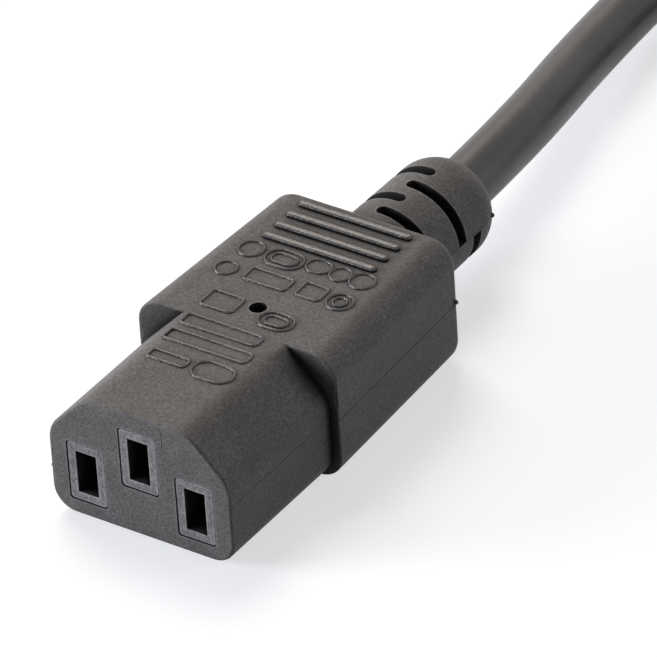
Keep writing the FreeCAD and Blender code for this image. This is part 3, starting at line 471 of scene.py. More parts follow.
def soften_shoulders(work, place):
    """Round off the four shoulders of a nose, where its two upper corners are cut off.

    A shoulder turns the surface by 45 degrees. Its outline in the mesh, a line, an arc of radius r
    and a line, is scaled from the centre of a larger circle of radius R that touches both lines:
    at angle b from the bisector the outline lies at R / cos(22.5 - |b|), or on the small arc where
    that is nearer, and each point moves by the ratio of R to it. The upper shoulders run out in
    the last millimetres before the step, where the nose's top goes on as the grip's.
    """
    half_turn = math.radians(SHOULDER_TURN / 2)
    inverse = place.inverted()
    apart = (SHOULDER_RADIUS - CHAMFER_RADIUS) / math.cos(half_turn)
    slope = (SHOULDER_RADIUS - CHAMFER_RADIUS) * math.tan(half_turn) / SHOULDER_RADIUS
    touch = half_turn - math.atan(slope)
    reach = SHOULDER_RADIUS / math.cos(half_turn)

    def outline_distance(angle):
        """How far the mesh's own outline lies from the large circle's centre."""
        if abs(angle) > touch:
            return SHOULDER_RADIUS / math.cos(half_turn - abs(angle))
        return apart * math.cos(angle) + math.sqrt(CHAMFER_RADIUS ** 2 - (apart * math.sin(angle)) ** 2)

    def across(point, centre, bisector):
        """Distance and angle of a point round the large circle's centre, on the nose's section."""
        x, z = point.x - centre[0], point.z - centre[1]
        turn = math.atan2(z, x) - bisector
        return math.hypot(x, z), (turn + math.pi) % (2 * math.pi) - math.pi

    def on_shoulder(vertex, centre, bisector):
        """Whether a vertex lies on the nose, between the two lines and near the outline."""
        point = inverse @ vertex.co
        distance, angle = across(point, centre, bisector)
        return (FACE_Y - NOSE_MARGIN < point.y < STEP_Y + NOSE_MARGIN
                and abs(angle) < half_turn * ANGLE_MARGIN
                and distance > SHOULDER_RADIUS - SHOULDER_BAND)

    def cut(centre, bisector, middle, normal):
        """Cut the faces of one shoulder by a plane."""
        near = {face for vertex in work.verts if on_shoulder(vertex, centre, bisector)
                for face in vertex.link_faces}
        geometry = list(near) + list({edge for face in near for edge in face.edges}) \
            + list({vertex for face in near for vertex in face.verts})
        bmesh.ops.bisect_plane(work, geom=geometry, dist=CUT_TOLERANCE, plane_co=place @ middle,
                               plane_no=place.to_3x3() @ normal)

    # where the two lines of a shoulder meet, the tilt of its bisector and the length of its fade
    shoulders = [
        (NOSE_HALF - NOSE_CHAMFER, GRIP_TOP, 90 - SHOULDER_TURN / 2, SHOULDER_FADE),
        (NOSE_HALF, GRIP_TOP - NOSE_CHAMFER, SHOULDER_TURN / 2, 0.0),
    ]
    for side in (1, -1):
        for x, z, tilt, fade in shoulders:
            bisector = math.radians(tilt if side > 0 else 180 - tilt)
            centre = (side * x - reach * math.cos(bisector), z - reach * math.sin(bisector))
            for step in np.linspace(-half_turn, half_turn, SHOULDER_CUTS):
                angle = bisector + step
                cut(centre, bisector, Vector((centre[0], 0, centre[1])),
                    Vector((-math.sin(angle), 0, math.cos(angle))))
            for step in np.linspace(0, fade, FADE_CUTS)[1:] if fade else ():
                cut(centre, bisector, Vector((0, STEP_Y - step, 0)), Vector((0, 1, 0)))
            for vertex in work.verts:
                if not on_shoulder(vertex, centre, bisector):
                    continue
                point = inverse @ vertex.co
                angle = across(point, centre, bisector)[1]
                share = min(max((STEP_Y - point.y) / fade, 0), 1) if fade else 1
                growth = SHOULDER_RADIUS / outline_distance(angle) - 1
                ratio = 1 + growth * share * share * (3 - 2 * share)
                point.x = centre[0] + (point.x - centre[0]) * ratio
                point.z = centre[1] + (point.z - centre[1]) * ratio
                vertex.co = place @ point


# Shading of the mouldings
MOULDING_SHARP_DEGREES = 28
ONE_PLANE_DEGREES = 0.3
MOST_PASSES = 400
TINY = 1e-20
RELIEF_SHARP_DEGREES = 25
RELIEF_START_MARGIN = 0.05 * MM
RELIEF_END_MARGIN = 0.02 * MM
RELIEF_INSIDE_RADIUS = 3.5 * MM
MERGE_DISTANCE = 0.0005 * MM
RIB_START = 0.15 * MM


def corner_normals(mesh, sharp_degrees):
    """Normals at the corners of a mesh of triangles, led by the largest surface that meets there.

    Triangles that lie in one plane count as one surface with their whole area. At a corner the
    normals of all surfaces that turn by less than the sharp angle are added, each weighted with
    its area and the triangle's angle, so a flat surface stays flat beside a rounded edge.
    """
    count = len(mesh.polygons)
    points = np.zeros(len(mesh.vertices) * 3)
    mesh.vertices.foreach_get("co", points)
    points = points.reshape(-1, 3)
    corners = np.zeros(count * 3, int)
    mesh.loops.foreach_get("vertex_index", corners)
    corners = corners.reshape(-1, 3)
    sides = points[np.roll(corners, -1, axis=1)] - points[corners]
    normals = np.cross(sides[:, 0], -sides[:, 2])
    areas = np.linalg.norm(normals, axis=1)
    normals /= np.maximum(areas, TINY)[:, None]

    # triangles in one plane, joined over their shared edges
    edges = np.sort(np.stack([corners, np.roll(corners, -1, axis=1)], axis=-1).reshape(-1, 2), axis=1)
    keys = edges[:, 0] * len(points) + edges[:, 1]
    order = np.argsort(keys, kind="stable")
    twin = keys[order[1:]] == keys[order[:-1]]
    first, second = order[:-1][twin] // 3, order[1:][twin] // 3
    alike = np.einsum("ij,ij->i", normals[first], normals[second])
    level = alike > math.cos(math.radians(ONE_PLANE_DEGREES))
    first, second = first[level], second[level]
    surface = np.arange(count)
    for _ in range(MOST_PASSES):
        lowest = np.minimum(surface[first], surface[second])
        before = surface.copy()
        np.minimum.at(surface, first, lowest)
        np.minimum.at(surface, second, lowest)
        surface = surface[surface]
        if np.array_equal(surface, before):
            break
    areas = np.bincount(surface, weights=areas, minlength=count)[surface]

    # angles of the triangles at their corners
    lengths = np.linalg.norm(sides, axis=2)
    cosines = -np.einsum("ijk,ijk->ij", sides, np.roll(sides, 1, axis=1)) \
        / np.maximum(lengths * np.roll(lengths, 1, axis=1), TINY)
    weights = (np.arccos(np.clip(cosines, -1, 1)) * areas[:, None]).ravel()

    # each corner with every other corner at the same vertex
    flat = corners.ravel()
    order = np.argsort(flat, kind="stable")
    starts = np.searchsorted(flat[order], np.arange(len(points)))
    valence = np.bincount(flat, minlength=len(points))
    rank = np.empty(len(flat), int)
    rank[order] = np.arange(len(flat)) - starts[flat[order]]
    own = np.repeat(normals, 3, axis=0)
    total = np.zeros_like(own)
    for step in range(valence.max()):
        inside = np.flatnonzero(step < valence[flat])
        partner = order[starts[flat[inside]] + (rank[inside] + step) % valence[flat[inside]]]
        alike = np.einsum("ij,ij->i", own[inside], own[partner])
        smooth = alike > math.cos(math.radians(sharp_degrees))
        total[inside] += own[partner] * (weights[partner] * smooth)[:, None]
    return total / np.maximum(np.linalg.norm(total, axis=1), TINY)[:, None], points[flat], own


def relief_normals(normals, points, own, place, start):
    """Exact normals on the outside of a relief, for the corners whose triangle faces that way.

    On the barrel they point away from its axis, and on the dome away from its ring of centres.
    """
    inverse = np.array(place.inverted())
    local = points @ inverse[:3, :3].T + inverse[:3, 3]
    facing = own @ inverse[:3, :3].T
    radial = np.column_stack([local[:, 0], np.zeros(len(local)), local[:, 2]])
    radius = np.linalg.norm(radial, axis=1)
    radial /= np.maximum(radius, TINY)[:, None]
    barrel_end = start + RELIEF_LENGTH - RELIEF_NOSE
    ring = np.array([RELIEF_END_RADIUS - RELIEF_DOME_RADIUS, barrel_end])
    dome = np.column_stack([radius - ring[0], local[:, 1] - ring[1]])
    dome /= np.maximum(np.linalg.norm(dome, axis=1), TINY)[:, None]
    on_dome = (local[:, 1] > barrel_end)[:, None]
    exact = np.where(on_dome, radial * dome[:, :1] + np.array([0, 1, 0]) * dome[:, 1:], radial)
    outside = (np.einsum("ij,ij->i", facing, exact) > math.cos(math.radians(RELIEF_SHARP_DEGREES))) \
        & (local[:, 1] > start - RELIEF_START_MARGIN) \
        & (local[:, 1] < start + RELIEF_LENGTH - RELIEF_END_MARGIN) & (radius > RELIEF_INSIDE_RADIUS)
    normals[outside] = exact[outside] @ np.array(place)[:3, :3].T
    return normals


def smooth_copy(node, material, nose=None, relief=None):
    """The node's own mesh, merged and shaded smooth.

    With a nose's place its shoulders are rounded, and the ribs on its grip get the glossy PVC
    that is painted darker for shade. With a relief's place and start the relief gets its exact normals.
    """
    mesh = bpy.data.meshes.new(node + "_smooth")
    work = bmesh.new()
    work.from_mesh(NODES[node].data)
    bmesh.ops.remove_doubles(work, verts=work.verts, dist=MERGE_DISTANCE)
    if nose is not None:
        soften_shoulders(work, nose)
    bmesh.ops.triangulate(work, faces=work.faces)
    for face in work.faces:
        face.smooth = True
        face.material_index = 0
    work.to_mesh(mesh)
    work.free()
    normals, points, own = corner_normals(mesh, MOULDING_SHARP_DEGREES)
    if relief is not None:
        normals = relief_normals(normals, points, own, *relief)
    mesh.normals_split_custom_set(normals.tolist())
    mesh.materials.clear()
    mesh.materials.append(material)
    if nose is not None:
        # painted shade: the ribs' tops get the darker glossy PVC
        mesh.materials.append(materials()["rubbed_pvc"])
        heights = points[:, 2].reshape(-1, 3).mean(axis=1)
        mesh.polygons.foreach_set("material_index", (heights > GRIP_TOP + RIB_START).astype(int))
    piece = bpy.data.objects.new(node + "_smooth", mesh)
    bpy.context.scene.collection.objects.link(piece)
    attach(piece, "root")
    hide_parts(node)
    return piece


def cord_curve(name, route, diameter, material):
    """A round cord: a spline of order 3 with the route's corners as its control points."""
    curve = bpy.data.curves.new(name, "CURVE")
    curve.dimensions = "3D"
    curve.bevel_depth = diameter / 2
    curve.bevel_resolution = 8
    curve.use_fill_caps = True
    curve.resolution_u = 24
    curve.render_resolution_u = 24
    spline = curve.splines.new("NURBS")
    spline.points.add(len(route) - 1)
    corners = np.ones((len(route), 4))
    corners[:, :3] = np.array(route) * MM
    spline.points.foreach_set("co", corners.ravel())
    spline.order_u = 3
    spline.use_endpoint_u = True
    curve.materials.append(material)
    piece = bpy.data.objects.new(name, curve)
    bpy.context.scene.collection.objects.link(piece)
    return piece


# Settings
LENGTH = {"unit": "LENGTH", "subtype": "DISTANCE"}


class MouldingSettings(bpy.types.PropertyGroup):
    """Colours of the plastics, and sizes of what stands proud of the mouldings"""
    moulding_dark: StringProperty(
        name="Moulding, dark", description="Darker colour of the overmoulds", default="#575554")
    moulding_light: StringProperty(
        name="Moulding, light", description="Lighter colour of the overmoulds", default="#636160")
    # painted shade: what stands proud is coloured darker than the moulding, for the shade along its
    # sides
    proud_dark_painted_shade: StringProperty(
        name="Proud, dark with painted shade", description="Darker colour of what stands proud", default="#353332")
    proud_light_painted_shade: StringProperty(
        name="Proud, light with painted shade", description="Lighter colour of what stands proud", default="#423f3e")
    carrier_dark: StringProperty(
        name="Carrier, dark", description="Darker colour of the contact carriers", default="#6b6869")
    carrier_light: StringProperty(
        name="Carrier, light", description="Lighter colour of the contact carriers", default="#7e7b7c")
    jacket_dark: StringProperty(
        name="Jacket, dark", description="Darker colour of the cords", default="#2f2d2c")
    jacket_light: StringProperty(
        name="Jacket, light", description="Lighter colour of the cords", default="#383535")
    bead_width: FloatProperty(
        name="Bead width", description="Width of the raised outlines on the sockets",
        default=0.34 * MM, **LENGTH)
    bead_height: FloatProperty(
        name="Bead height", description="Height of the raised outlines on the sockets",
        default=0.20 * MM, **LENGTH)
    seam_width: FloatProperty(
        name="Seam width", description="Width of the mould's parting line",
        default=0.16 * MM, **LENGTH)
    seam_height: FloatProperty(
        name="Seam height", description="Height of the mould's parting line",
        default=0.06 * MM, **LENGTH)


class CordSettings(bpy.types.PropertyGroup):
    """Sizes of the cords and the tie"""
    diameter: FloatProperty(
        name="Diameter", description="Outer diameter of the jackets",
        default=6.7 * MM, **LENGTH)
    tie_width: FloatProperty(
        name="Tie width", description="Width of the strap round the branches",
        default=9.0 * MM, **LENGTH)
    tie_thickness: FloatProperty(
        name="Tie thickness", description="Thickness of the strap",
        default=1.15 * MM, **LENGTH)


class StageSettings(bpy.types.PropertyGroup):
    """Floor and light"""
    floor_colour: StringProperty(
        name="Floor", description="Colour of the floor in the lamps' light", default="#b9bcc0")
    key_power: FloatProperty(
        name="Key", description="Power of the lamp above and behind on the left",
        default=34.0, unit="POWER", min=0.0)
    front_power: FloatProperty(
        name="Front", description="Power of the lamp in front on the left",
        default=60.0, unit="POWER", min=0.0)
    side_power: FloatProperty(
        name="Side", description="Power of the lamp behind on the right",
        default=7.0, unit="POWER", min=0.0)
    ambient: FloatProperty(
        name="Ambient", description="Strength of the light from all round", default=0.06, min=0.0)


def materials():
    """The materials, made once."""
    settings = bpy.context.scene.cord_mouldings
    if "flexible_pvc_overmould" not in bpy.data.materials:
        flexible_pvc(settings)
        rubbed_pvc(settings)
        carrier_plastic(settings)
        jacket_pvc(settings)
        stamped_brass()
        nylon_strap()
        core_pvc("line", "#5a2f18")
        core_pvc("neutral", "#2a63a8")
        core_pvc("earth", "#4b8a32")
    return bpy.data.materials


def socket_places():
    """How the first socket's details are placed on each of the two."""
    turned = Matrix.Translation((*SECOND_SOCKET, 0)) @ Matrix.Rotation(math.pi, 4, "Z")
    return {"a": Matrix.Identity(4), "b": turned}


# Mouldings, with the finish of each kind of node
FINISHES = {
    "_body": "flexible_pvc_overmould",
    "_carrier": "polyester_carrier",
    "_contact_": "stamped_brass",
    "_pin_": "stamped_brass",
    "_splice_": "stamped_brass",
}


def finish_of(name):
    """The material of a node; the cords and the tie have none, because other pieces replace them."""
    if "_core_" in name:
        return "insulation_" + name.rsplit("_", 1)[1]
    return next((finish for kind, finish in FINISHES.items() if kind in name), None)


class OBJECT_OT_cord_mouldings(bpy.types.Operator):
    """Shade the moulded bodies smooth and give every solid of the frame its material"""
    bl_idname = "object.cord_mouldings"
    bl_label = "Mouldings, carriers and contacts"

    def execute(self, context):
        made = materials()
        noses, reliefs = {}, {}
        for name, place in socket_places().items():
            noses["socket_%s_body" % name] = place
            reliefs["socket_%s_body" % name] = (
                place @ Matrix.Translation((0, 0, SOCKET_AXIS)), GRIP_END_Y)
        reliefs["plug_body"] = (
            Matrix.Translation((PLUG[0], 0, PLUG_AXIS)), PLUG[1] + PLUG_LENGTH - RELIEF_LENGTH)
        for name, node in NODES.items():
            finish = finish_of(name)
            if finish is None:
                continue
            if name.endswith(("_body", "_carrier")):
                smooth_copy(name, made[finish], nose=noses.get(name), relief=reliefs.get(name))
                continue
            node.data.materials.clear()
            node.data.materials.append(made[finish])
        return {"FINISHED"}


# Blank outlines on the tops of nose and grip: across, distance behind the face, width, length and
# corner radius, in millimetres
TOP_BLANKS = [
    (-6.95, 32.4, 2.9, 2.9, 1.45),
    (-2.6, 32.35, 4.6, 3.1, 1.55),
    (-2.6, 32.35, 3.2, 1.7, 0.85),
    (1.45, 33.0, 3.0, 2.4, 1.2),
    (4.35, 32.85, 2.5, 2.5, 1.25),
    (7.15, 32.9, 2.9, 2.9, 1.45),
    (-7.3, 28.0, 2.5, 2.5, 1.25),
    (-2.0, 28.35, 5.4, 2.3, 0.4),
    (3.5, 28.6, 3.0, 2.6, 0.4),
    (7.2, 28.4, 3.0, 3.0, 1.5),
    (7.2, 28.4, 1.6, 1.6, 0.8),
    (-4.0, 22.4, 4.1, 3.0, 0.5),
    (3.25, 22.0, 4.2, 2.9, 1.45),
    (3.25, 22.0, 2.8, 1.6, 0.8),
    (-1.0, 17.9, 9.8, 1.9, 0.5),
    (-0.6, 14.7, 10.6, 1.9, 0.5),
    (-3.0, 10.75, 4.8, 1.5, 0.4),
    (2.7, 10.8, 5.0, 3.1, 1.55),
]


class OBJECT_OT_cord_blanks(bpy.types.Operator):
    """Raised outlines with nothing in them, on the tops of the noses and the grips"""
    bl_idname = "object.cord_blanks"
    bl_label = "Raised blanks"

    def execute(self, context):
        settings = context.scene.cord_mouldings
        parts = []
        for across, behind, width, length, corner in TOP_BLANKS:
            centre = (across * MM, FACE_Y + behind * MM)
            path = oval_path(centre, width * MM, length * MM, corner * MM)
            outward = ring_normals(path)
            flat = np.column_stack([path, np.full(len(path), GRIP_TOP)])
            sideways = np.column_stack([outward, np.zeros(len(path))])
            parts.append(bead_along(flat, (0, 0, 1), sideways, settings.bead_width,
                                    settings.bead_height, closed=True))
        points, faces = join_parts(parts)
        for name, place in socket_places().items():
            # painted shade: the blanks are in the darker glossy PVC
            piece = new_piece("socket_%s_blanks" % name, placed(points, place), faces,
                              materials()["rubbed_pvc"])
            repair_normals(piece)
            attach(piece, "root")
        return {"FINISHED"}


# Parting line: how far its runs stay from the ends of their forms, how far it stands out at the
# grip's back, and the share of the dome's arc that it goes round
SEAM_FACE_GAP = 0.35 * MM
SEAM_STEP_GAP = 0.2 * MM
SEAM_GRIP_START = 0.3 * MM
SEAM_GRIP_END = 1.2 * MM
SEAM_GRIP_OUT = 0.06 * MM
SEAM_RELIEF_START = 0.1 * MM
SEAM_DOME_SHARE = 0.97
SEAM_DOME_POINTS = 8

# Knit line, where two streams of plastic met in the face over the middle slot
KNIT = [(3.1 * MM, FACE_Y, 15.3 * MM), (3.25 * MM, FACE_Y, 14.1 * MM), (3.2 * MM, FACE_Y, 12.8 * MM)]
KNIT_WIDTH = 0.14 * MM
KNIT_HEIGHT = 0.05 * MM

# Stubs that the mould's vents leave: place, direction, radius and height; the last is on the dome
DOME_SIDE = RELIEF_END_RADIUS - 0.5 * MM
VENT_STUBS = [
    ((-NOSE_HALF, FACE_Y + 0.5 * MM, 5.3 * MM), (-1, 0, 0), 0.22 * MM, 0.3 * MM),
    ((GRIP_BACK_HALF, GRIP_END_Y - 1.1 * MM, 8.3 * MM), (1, 0.1, 0), 0.3 * MM, 0.4 * MM),
    ((DOME_SIDE, SOCKET_END_Y - 2.1 * MM, SOCKET_AXIS), (1, 0.15, 0.3), 0.32 * MM, 0.42 * MM),
]


def socket_side_runs():
    """The parting line on a socket's right side at half its height, in three runs.

    They go straight along the nose, straight back along the tapered grip, and along the relief's
    barrel and round its domed end, where a point is its centre + the dome's radius at angle a.
    """
    barrel_end = SOCKET_END_Y - RELIEF_NOSE
    share = np.linspace(0, 1, SEAM_DOME_POINTS + 1)[1:]
    angle = share * math.asin(RELIEF_NOSE / RELIEF_DOME_RADIUS) * SEAM_DOME_SHARE
    nose = [
        (NOSE_HALF, FACE_Y + SEAM_FACE_GAP),
        (NOSE_HALF, STEP_Y - SEAM_STEP_GAP),
    ]
    grip = [
        (GRIP_FRONT_HALF, STEP_Y + SEAM_GRIP_START),
        (GRIP_BACK_HALF + SEAM_GRIP_OUT, GRIP_END_Y - SEAM_GRIP_END),
    ]
    barrel = [
        (RELIEF_ROOT_RADIUS, GRIP_END_Y + SEAM_RELIEF_START),
        (RELIEF_END_RADIUS, barrel_end),
    ]
    dome = np.column_stack([RELIEF_END_RADIUS - RELIEF_DOME_RADIUS * (1 - np.cos(angle)),
                            barrel_end + RELIEF_DOME_RADIUS * np.sin(angle)])
    return [np.array(nose), np.array(grip), np.concatenate([np.array(barrel), dome])]


class OBJECT_OT_cord_seams(bpy.types.Operator):
    """The fine lines and stubs that a mould leaves on each socket"""
    bl_idname = "object.cord_seams"
    bl_label = "Parting lines"

    def execute(self, context):
        settings = context.scene.cord_mouldings
        parts = []
        for run in socket_side_runs():
            for side in (1, -1):
                path = np.column_stack([run[:, 0] * side, run[:, 1], np.full(len(run), SOCKET_AXIS)])
                along = np.gradient(path, axis=0)
                along /= np.linalg.norm(along, axis=1)[:, None]
                outward = np.column_stack([along[:, 1], -along[:, 0], np.zeros(len(run))]) * side
                parts.append(bead_along(path, outward, (0, 0, 1), settings.seam_width,
                                        settings.seam_height, closed=False))
        parts.append(bead_along(KNIT, (0, -1, 0), (1, 0, 0), KNIT_WIDTH, KNIT_HEIGHT, closed=False))
        parts += [vent_stub(*stub) for stub in VENT_STUBS]
        points, faces = join_parts(parts)
        for name, place in socket_places().items():
            piece = new_piece("socket_%s_seam" % name, placed(points, place), faces,
                              materials()["flexible_pvc_overmould"])
            repair_normals(piece)
            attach(piece, "root")
        return {"FINISHED"}


# Cords
def pieces_of(start):
    """Every piece whose name begins with the given start, such as the pieces of one moulding."""
    return [piece for piece in bpy.data.objects if piece.name.startswith(start)]


class OBJECT_OT_cord_cords(bpy.types.Operator):
    """The two branch cords and the trunk cord"""
    bl_idname = "object.cord_cords"
    bl_label = "Cords"

    def execute(self, context):
        settings = context.scene.cord_strands
        jacket = materials()["extruded_pvc_jacket"]
        cords = [
            ("branch_a", BRANCH_A_ROUTE, BRANCH_A_LENGTH, "connector", "junction_",
             (0.0, SOCKET_END_Y, SOCKET_AXIS)),
            ("branch_b", BRANCH_B_ROUTE, BRANCH_B_LENGTH, "connector", "socket_b_",
             (BRANCH_B_X, JUNCTION_Y, JUNCTION_AXIS)),
            ("trunk", TRUNK_ROUTE, TRUNK_LENGTH, "plug", "plug_",
             (JUNCTION_X, JUNCTION_Y + JUNCTION_LENGTH, JUNCTION_AXIS)),
        ]
        for name, route, length, far_end, start, exit_point in cords:
            piece = cord_curve("cord_%s_jacket" % name, route, settings.diameter, jacket)
            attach(piece, "root")
            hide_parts("cord_" + name)
            on_it = pieces_of(start)
            if name == "branch_a":
                on_it.append(bpy.data.objects["cord_tie_strap"])
        return {"FINISHED"}


# Tie: the stadium that its inner side goes round, its height over the floor and its lapped end
TIE_HALF_HEIGHT = 3.8 * MM
TIE_HALF_SPACING = 3.85 * MM
TIE_LIFT = 1.2 * MM
TIE_POINTS = 220
LAP_STRAIGHT_SHARE = 0.9
LAP_ARC_SHARE = 0.25
LAP_RISE_START = 2.0 * MM
LAP_RISE_LENGTH = 4.0 * MM
LAP_CLEARANCE = 1.03
STRIP_POINTS = 20
STRIP_WIDTH_POWER = 0.35
STRIP_HEIGHT_POWER = 0.6


def strap_line(thickness):
    """The strap's middle line: its travel, its outward directions and its points.

    It is a stadium, two half circles joined by two straight sides, whose radius grows by just over
    one thickness where the strap laps itself. A point is its side's centre + the outward direction
    * the radius; on a half circle that direction turns evenly with the travel.
    """
    centre = np.array([*TIE, TIE_HALF_HEIGHT + TIE_LIFT])
    straight = 2 * TIE_HALF_SPACING
    arc = math.pi * (TIE_HALF_HEIGHT + thickness / 2)
    around = 2 * straight + 2 * arc
    lap = straight * LAP_STRAIGHT_SHARE + arc * LAP_ARC_SHARE
    travel = np.linspace(0, around + lap, TIE_POINTS)
    rise = np.clip((travel - around + LAP_RISE_START) / LAP_RISE_LENGTH, 0, 1)
    rise = rise * rise * (3 - 2 * rise) * thickness * LAP_CLEARANCE
    radius = TIE_HALF_HEIGHT + thickness / 2 + rise
    where = np.mod(travel, around)
    sides = [where < straight, where < straight + arc, where < 2 * straight + arc, where <= around]
    turn = np.select(sides, [
        math.pi / 2,
        math.pi / 2 - (where - straight) / arc * math.pi,
        -math.pi / 2,
        -math.pi / 2 - (where - 2 * straight - arc) / arc * math.pi,
    ])
    middle_x = np.select(sides, [
        where - TIE_HALF_SPACING,
        TIE_HALF_SPACING,
        TIE_HALF_SPACING - (where - straight - arc),
        -TIE_HALF_SPACING,
    ])
    level = np.zeros(len(turn))
    outward = np.column_stack([np.cos(turn), level, np.sin(turn)])
    path = centre + np.column_stack([middle_x, level, level]) + outward * radius[:, None]
    return travel, outward, path


class OBJECT_OT_cord_tie(bpy.types.Operator):
    """A soft strap wound one and a quarter times round both branch cords"""
    bl_idname = "object.cord_tie"
    bl_label = "Tie"

    def execute(self, context):
        settings = context.scene.cord_strands
        travel, outward, path = strap_line(settings.tie_thickness)

        # its section: a flat strip with rounded edges, a circle whose cosine and sine are raised
        # to powers below one, and then scaled to the strip's width and thickness
        angles = np.linspace(0, 2 * math.pi, STRIP_POINTS, endpoint=False)
        cosine, sine = np.cos(angles), np.sin(angles)
        across = np.sign(cosine) * np.abs(cosine) ** STRIP_WIDTH_POWER * settings.tie_width / 2
        up = np.sign(sine) * np.abs(sine) ** STRIP_HEIGHT_POWER * settings.tie_thickness / 2
        points = path[:, None, :] + outward[:, None, :] * up[None, :, None] \
            + np.array([0, 1, 0]) * across[None, :, None]
        rows, columns = points.shape[:2]
        faces = grid_faces(rows, columns, closed_columns=True) + end_faces(rows, columns)
        uvs = np.stack(np.broadcast_arrays(travel[:, None], across[None, :]), axis=-1)
        piece = new_piece("cord_tie_strap", points, faces, materials()["nylon_strap"], uvs=uvs)
        repair_normals(piece)
        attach(piece, "root")
        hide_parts("cord_tie")
        return {"FINISHED"}


# Stage: the floor's half width, the glow that whitens it far from the object, and the lamps' names,
# places, sizes and colours
FLOOR_REACH = 6.0
GLOW_NEAR = 0.25
GLOW_FAR = 1.6
GLOW_LEAST = 0.62
WHITE = "#ffffff"
LAMP_AIM = (0.0, 0.0, 0.01)
LAMPS = [
    ("key", (-1.00, 0.84, 1.60), 1.2, "#fff3e8"),
    ("front", (-1.60, -1.05, 0.35), 0.9, "#f2f6ff"),
    ("side", (1.30, 0.75, 0.50), 1.2, "#f2f6ff"),
]

# Camera, solved from the contact slots and the first socket's outline: its focal length in pixels,
# its place and its axes
IMAGE_WIDTH = 657
FOCAL_LENGTH = 7745.99
SENSOR_WIDTH = 36.0
CAMERA_PLACE = (0.408179, -0.562016, 0.481431)
CAMERA_RIGHT = (0.83177, 0.55233, -0.05562)
CAMERA_UP = (-0.27373, 0.49525, 0.82450)
CAMERA_BACK = (0.48294, -0.67057, 0.56312)


def background_ray(tree):
    """1 for the rays that show the background: from the camera, off gloss and through glass."""
    path = add_node(tree, "LightPath")
    seen = add_node(tree, "Math", {
        0: path.outputs["Is Camera Ray"], 1: path.outputs["Is Glossy Ray"]}, operation="MAXIMUM")
    seen = add_node(tree, "Math", {
        0: seen.outputs["Value"], 1: path.outputs["Is Transmission Ray"]}, operation="MAXIMUM")
    return seen.outputs["Value"]


def painted_floor(colour):
    """Matt painted board: a plain pale floor that keeps shadows and turns white far away."""
    material, tree = new_material("painted_floor")
    seen = background_ray(tree)
    place = add_node(tree, "TexCoord").outputs["Object"]
    paint = add_node(tree, "BsdfDiffuse", {"Color": linear(colour)})
    away = add_node(tree, "VectorMath", {0: place}, operation="LENGTH")
    white = add_node(tree, "MapRange", {
        "Value": away.outputs["Value"], "From Min": GLOW_NEAR, "From Max": GLOW_FAR,
        "To Min": GLOW_LEAST, "To Max": 1.0})
    lift = add_node(tree, "Math", {0: seen, 1: white.outputs["Result"]}, operation="MULTIPLY")
    glow = add_node(tree, "Emission", {"Color": linear(WHITE), "Strength": lift.outputs["Value"]})
    both = add_node(tree, "AddShader", {0: paint.outputs["BSDF"], 1: glow.outputs["Emission"]})
    finish_material(tree, both.outputs["Shader"])
    return material


def studio_world(ambient):
    """A white background, and a faint cool light from all round."""
    world = bpy.data.worlds.new("studio")
    world.use_nodes = True
    tree = world.node_tree
    tree.nodes.clear()
    shown = background_ray(tree)
    strength = add_node(tree, "MapRange", {"Value": shown, "To Min": ambient, "To Max": 1.0})
    tint = add_node(tree, "MixRGB", {
        "Fac": shown, "Color1": linear("#e6eeff"), "Color2": linear(WHITE)})
    sky = add_node(tree, "Background", {
        "Color": tint.outputs["Color"], "Strength": strength.outputs["Result"]})
    add_node(tree, "OutputWorld", {"Surface": sky.outputs["Background"]})
    return world


def area_lamp(name, place, size, power, colour):
    """A square soft lamp that faces the first socket."""
    lamp = bpy.data.lights.new(name, "AREA")
    lamp.energy = power
    lamp.color = linear(colour)[:3]
    lamp.size = size
    holder = bpy.data.objects.new(name, lamp)
    holder.location = place
    holder.rotation_euler = (Vector(LAMP_AIM) - Vector(place)).to_track_quat("-Z", "Y").to_euler()
    bpy.context.scene.collection.objects.link(holder)


def photo_camera():
    """The camera at the photograph's place and angle."""
    camera = bpy.data.cameras.new("camera")
    camera.sensor_fit = "HORIZONTAL"
    camera.sensor_width = SENSOR_WIDTH
    camera.lens = FOCAL_LENGTH / IMAGE_WIDTH * SENSOR_WIDTH
    camera.clip_start = 0.01
    camera.clip_end = 50.0
    holder = bpy.data.objects.new("camera", camera)
    turn = Matrix((CAMERA_RIGHT, CAMERA_UP, CAMERA_BACK)).transposed().to_4x4()
    holder.matrix_world = Matrix.Translation(CAMERA_PLACE) @ turn
    bpy.context.scene.collection.objects.link(holder)
    return holder


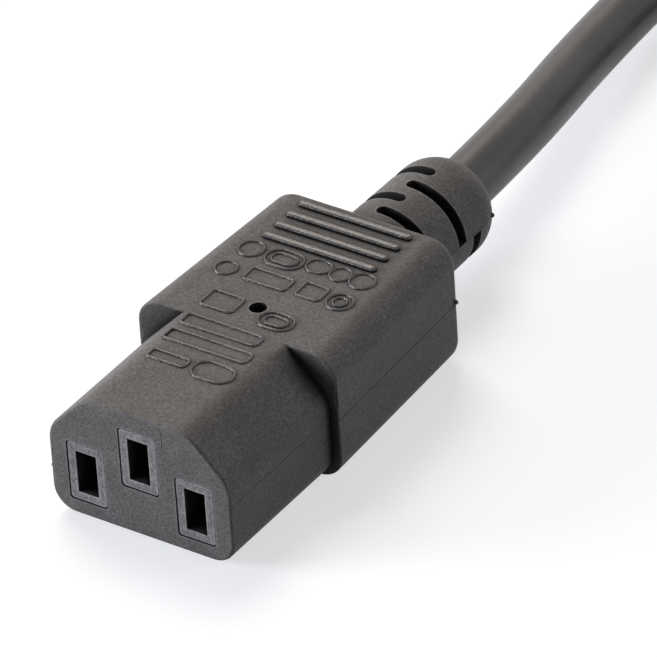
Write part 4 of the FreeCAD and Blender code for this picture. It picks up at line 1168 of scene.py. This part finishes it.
class OBJECT_OT_cord_stage(bpy.types.Operator):
    """Floor, world, lamps and camera"""
    bl_idname = "object.cord_stage"
    bl_label = "Stage"

    def execute(self, context):
        scene = context.scene
        settings = scene.cord_stage
        scene.view_settings.view_transform = "Standard"
        corners = np.array([(-1, -1, 0), (1, -1, 0), (1, 1, 0), (-1, 1, 0)]) * FLOOR_REACH
        floor = new_piece("floor", corners, [(0, 1, 2, 3)], painted_floor(settings.floor_colour),
                          smooth=False)
        scene.world = studio_world(settings.ambient)
        for name, place, size, colour in LAMPS:
            area_lamp(name, place, size, getattr(settings, name + "_power"), colour)
        scene.camera = photo_camera()
        return {"FINISHED"}


class VIEW3D_PT_cord(bpy.types.Panel):
    """The steps in the order in which main calls them"""
    bl_idname = "VIEW3D_PT_cord"
    bl_label = "Power cord"
    bl_space_type = "VIEW_3D"
    bl_region_type = "UI"
    bl_category = "Power cord"

    def draw(self, context):
        for operator in OPERATORS:
            self.layout.operator(operator.bl_idname)
        for group in SETTINGS:
            settings = getattr(context.scene, group)
            for name in settings.bl_rna.properties.keys():
                if name not in ("rna_type", "name"):
                    self.layout.prop(settings, name)


OPERATORS = [
    OBJECT_OT_cord_mouldings,
    OBJECT_OT_cord_blanks,
    OBJECT_OT_cord_seams,
    OBJECT_OT_cord_tie,
    OBJECT_OT_cord_cords,
    OBJECT_OT_cord_stage,
]
SETTINGS = {
    "cord_mouldings": MouldingSettings,
    "cord_strands": CordSettings,
    "cord_stage": StageSettings,
}


def register():
    """Register the classes, and give the scene its settings."""
    for group in (*SETTINGS.values(), *OPERATORS, VIEW3D_PT_cord):
        bpy.utils.register_class(group)
    for name, group in SETTINGS.items():
        setattr(bpy.types.Scene, name, PointerProperty(type=group))


def unregister():
    """Take both away again."""
    for name in SETTINGS:
        delattr(bpy.types.Scene, name)
    for group in reversed((*SETTINGS.values(), *OPERATORS, VIEW3D_PT_cord)):
        bpy.utils.unregister_class(group)


def main():
    """Run the steps in order."""
    register()
    for operator in OPERATORS:
        group, name = operator.bl_idname.split(".")
        getattr(getattr(bpy.ops, group), name)()


if __name__ == "__main__":
    main()
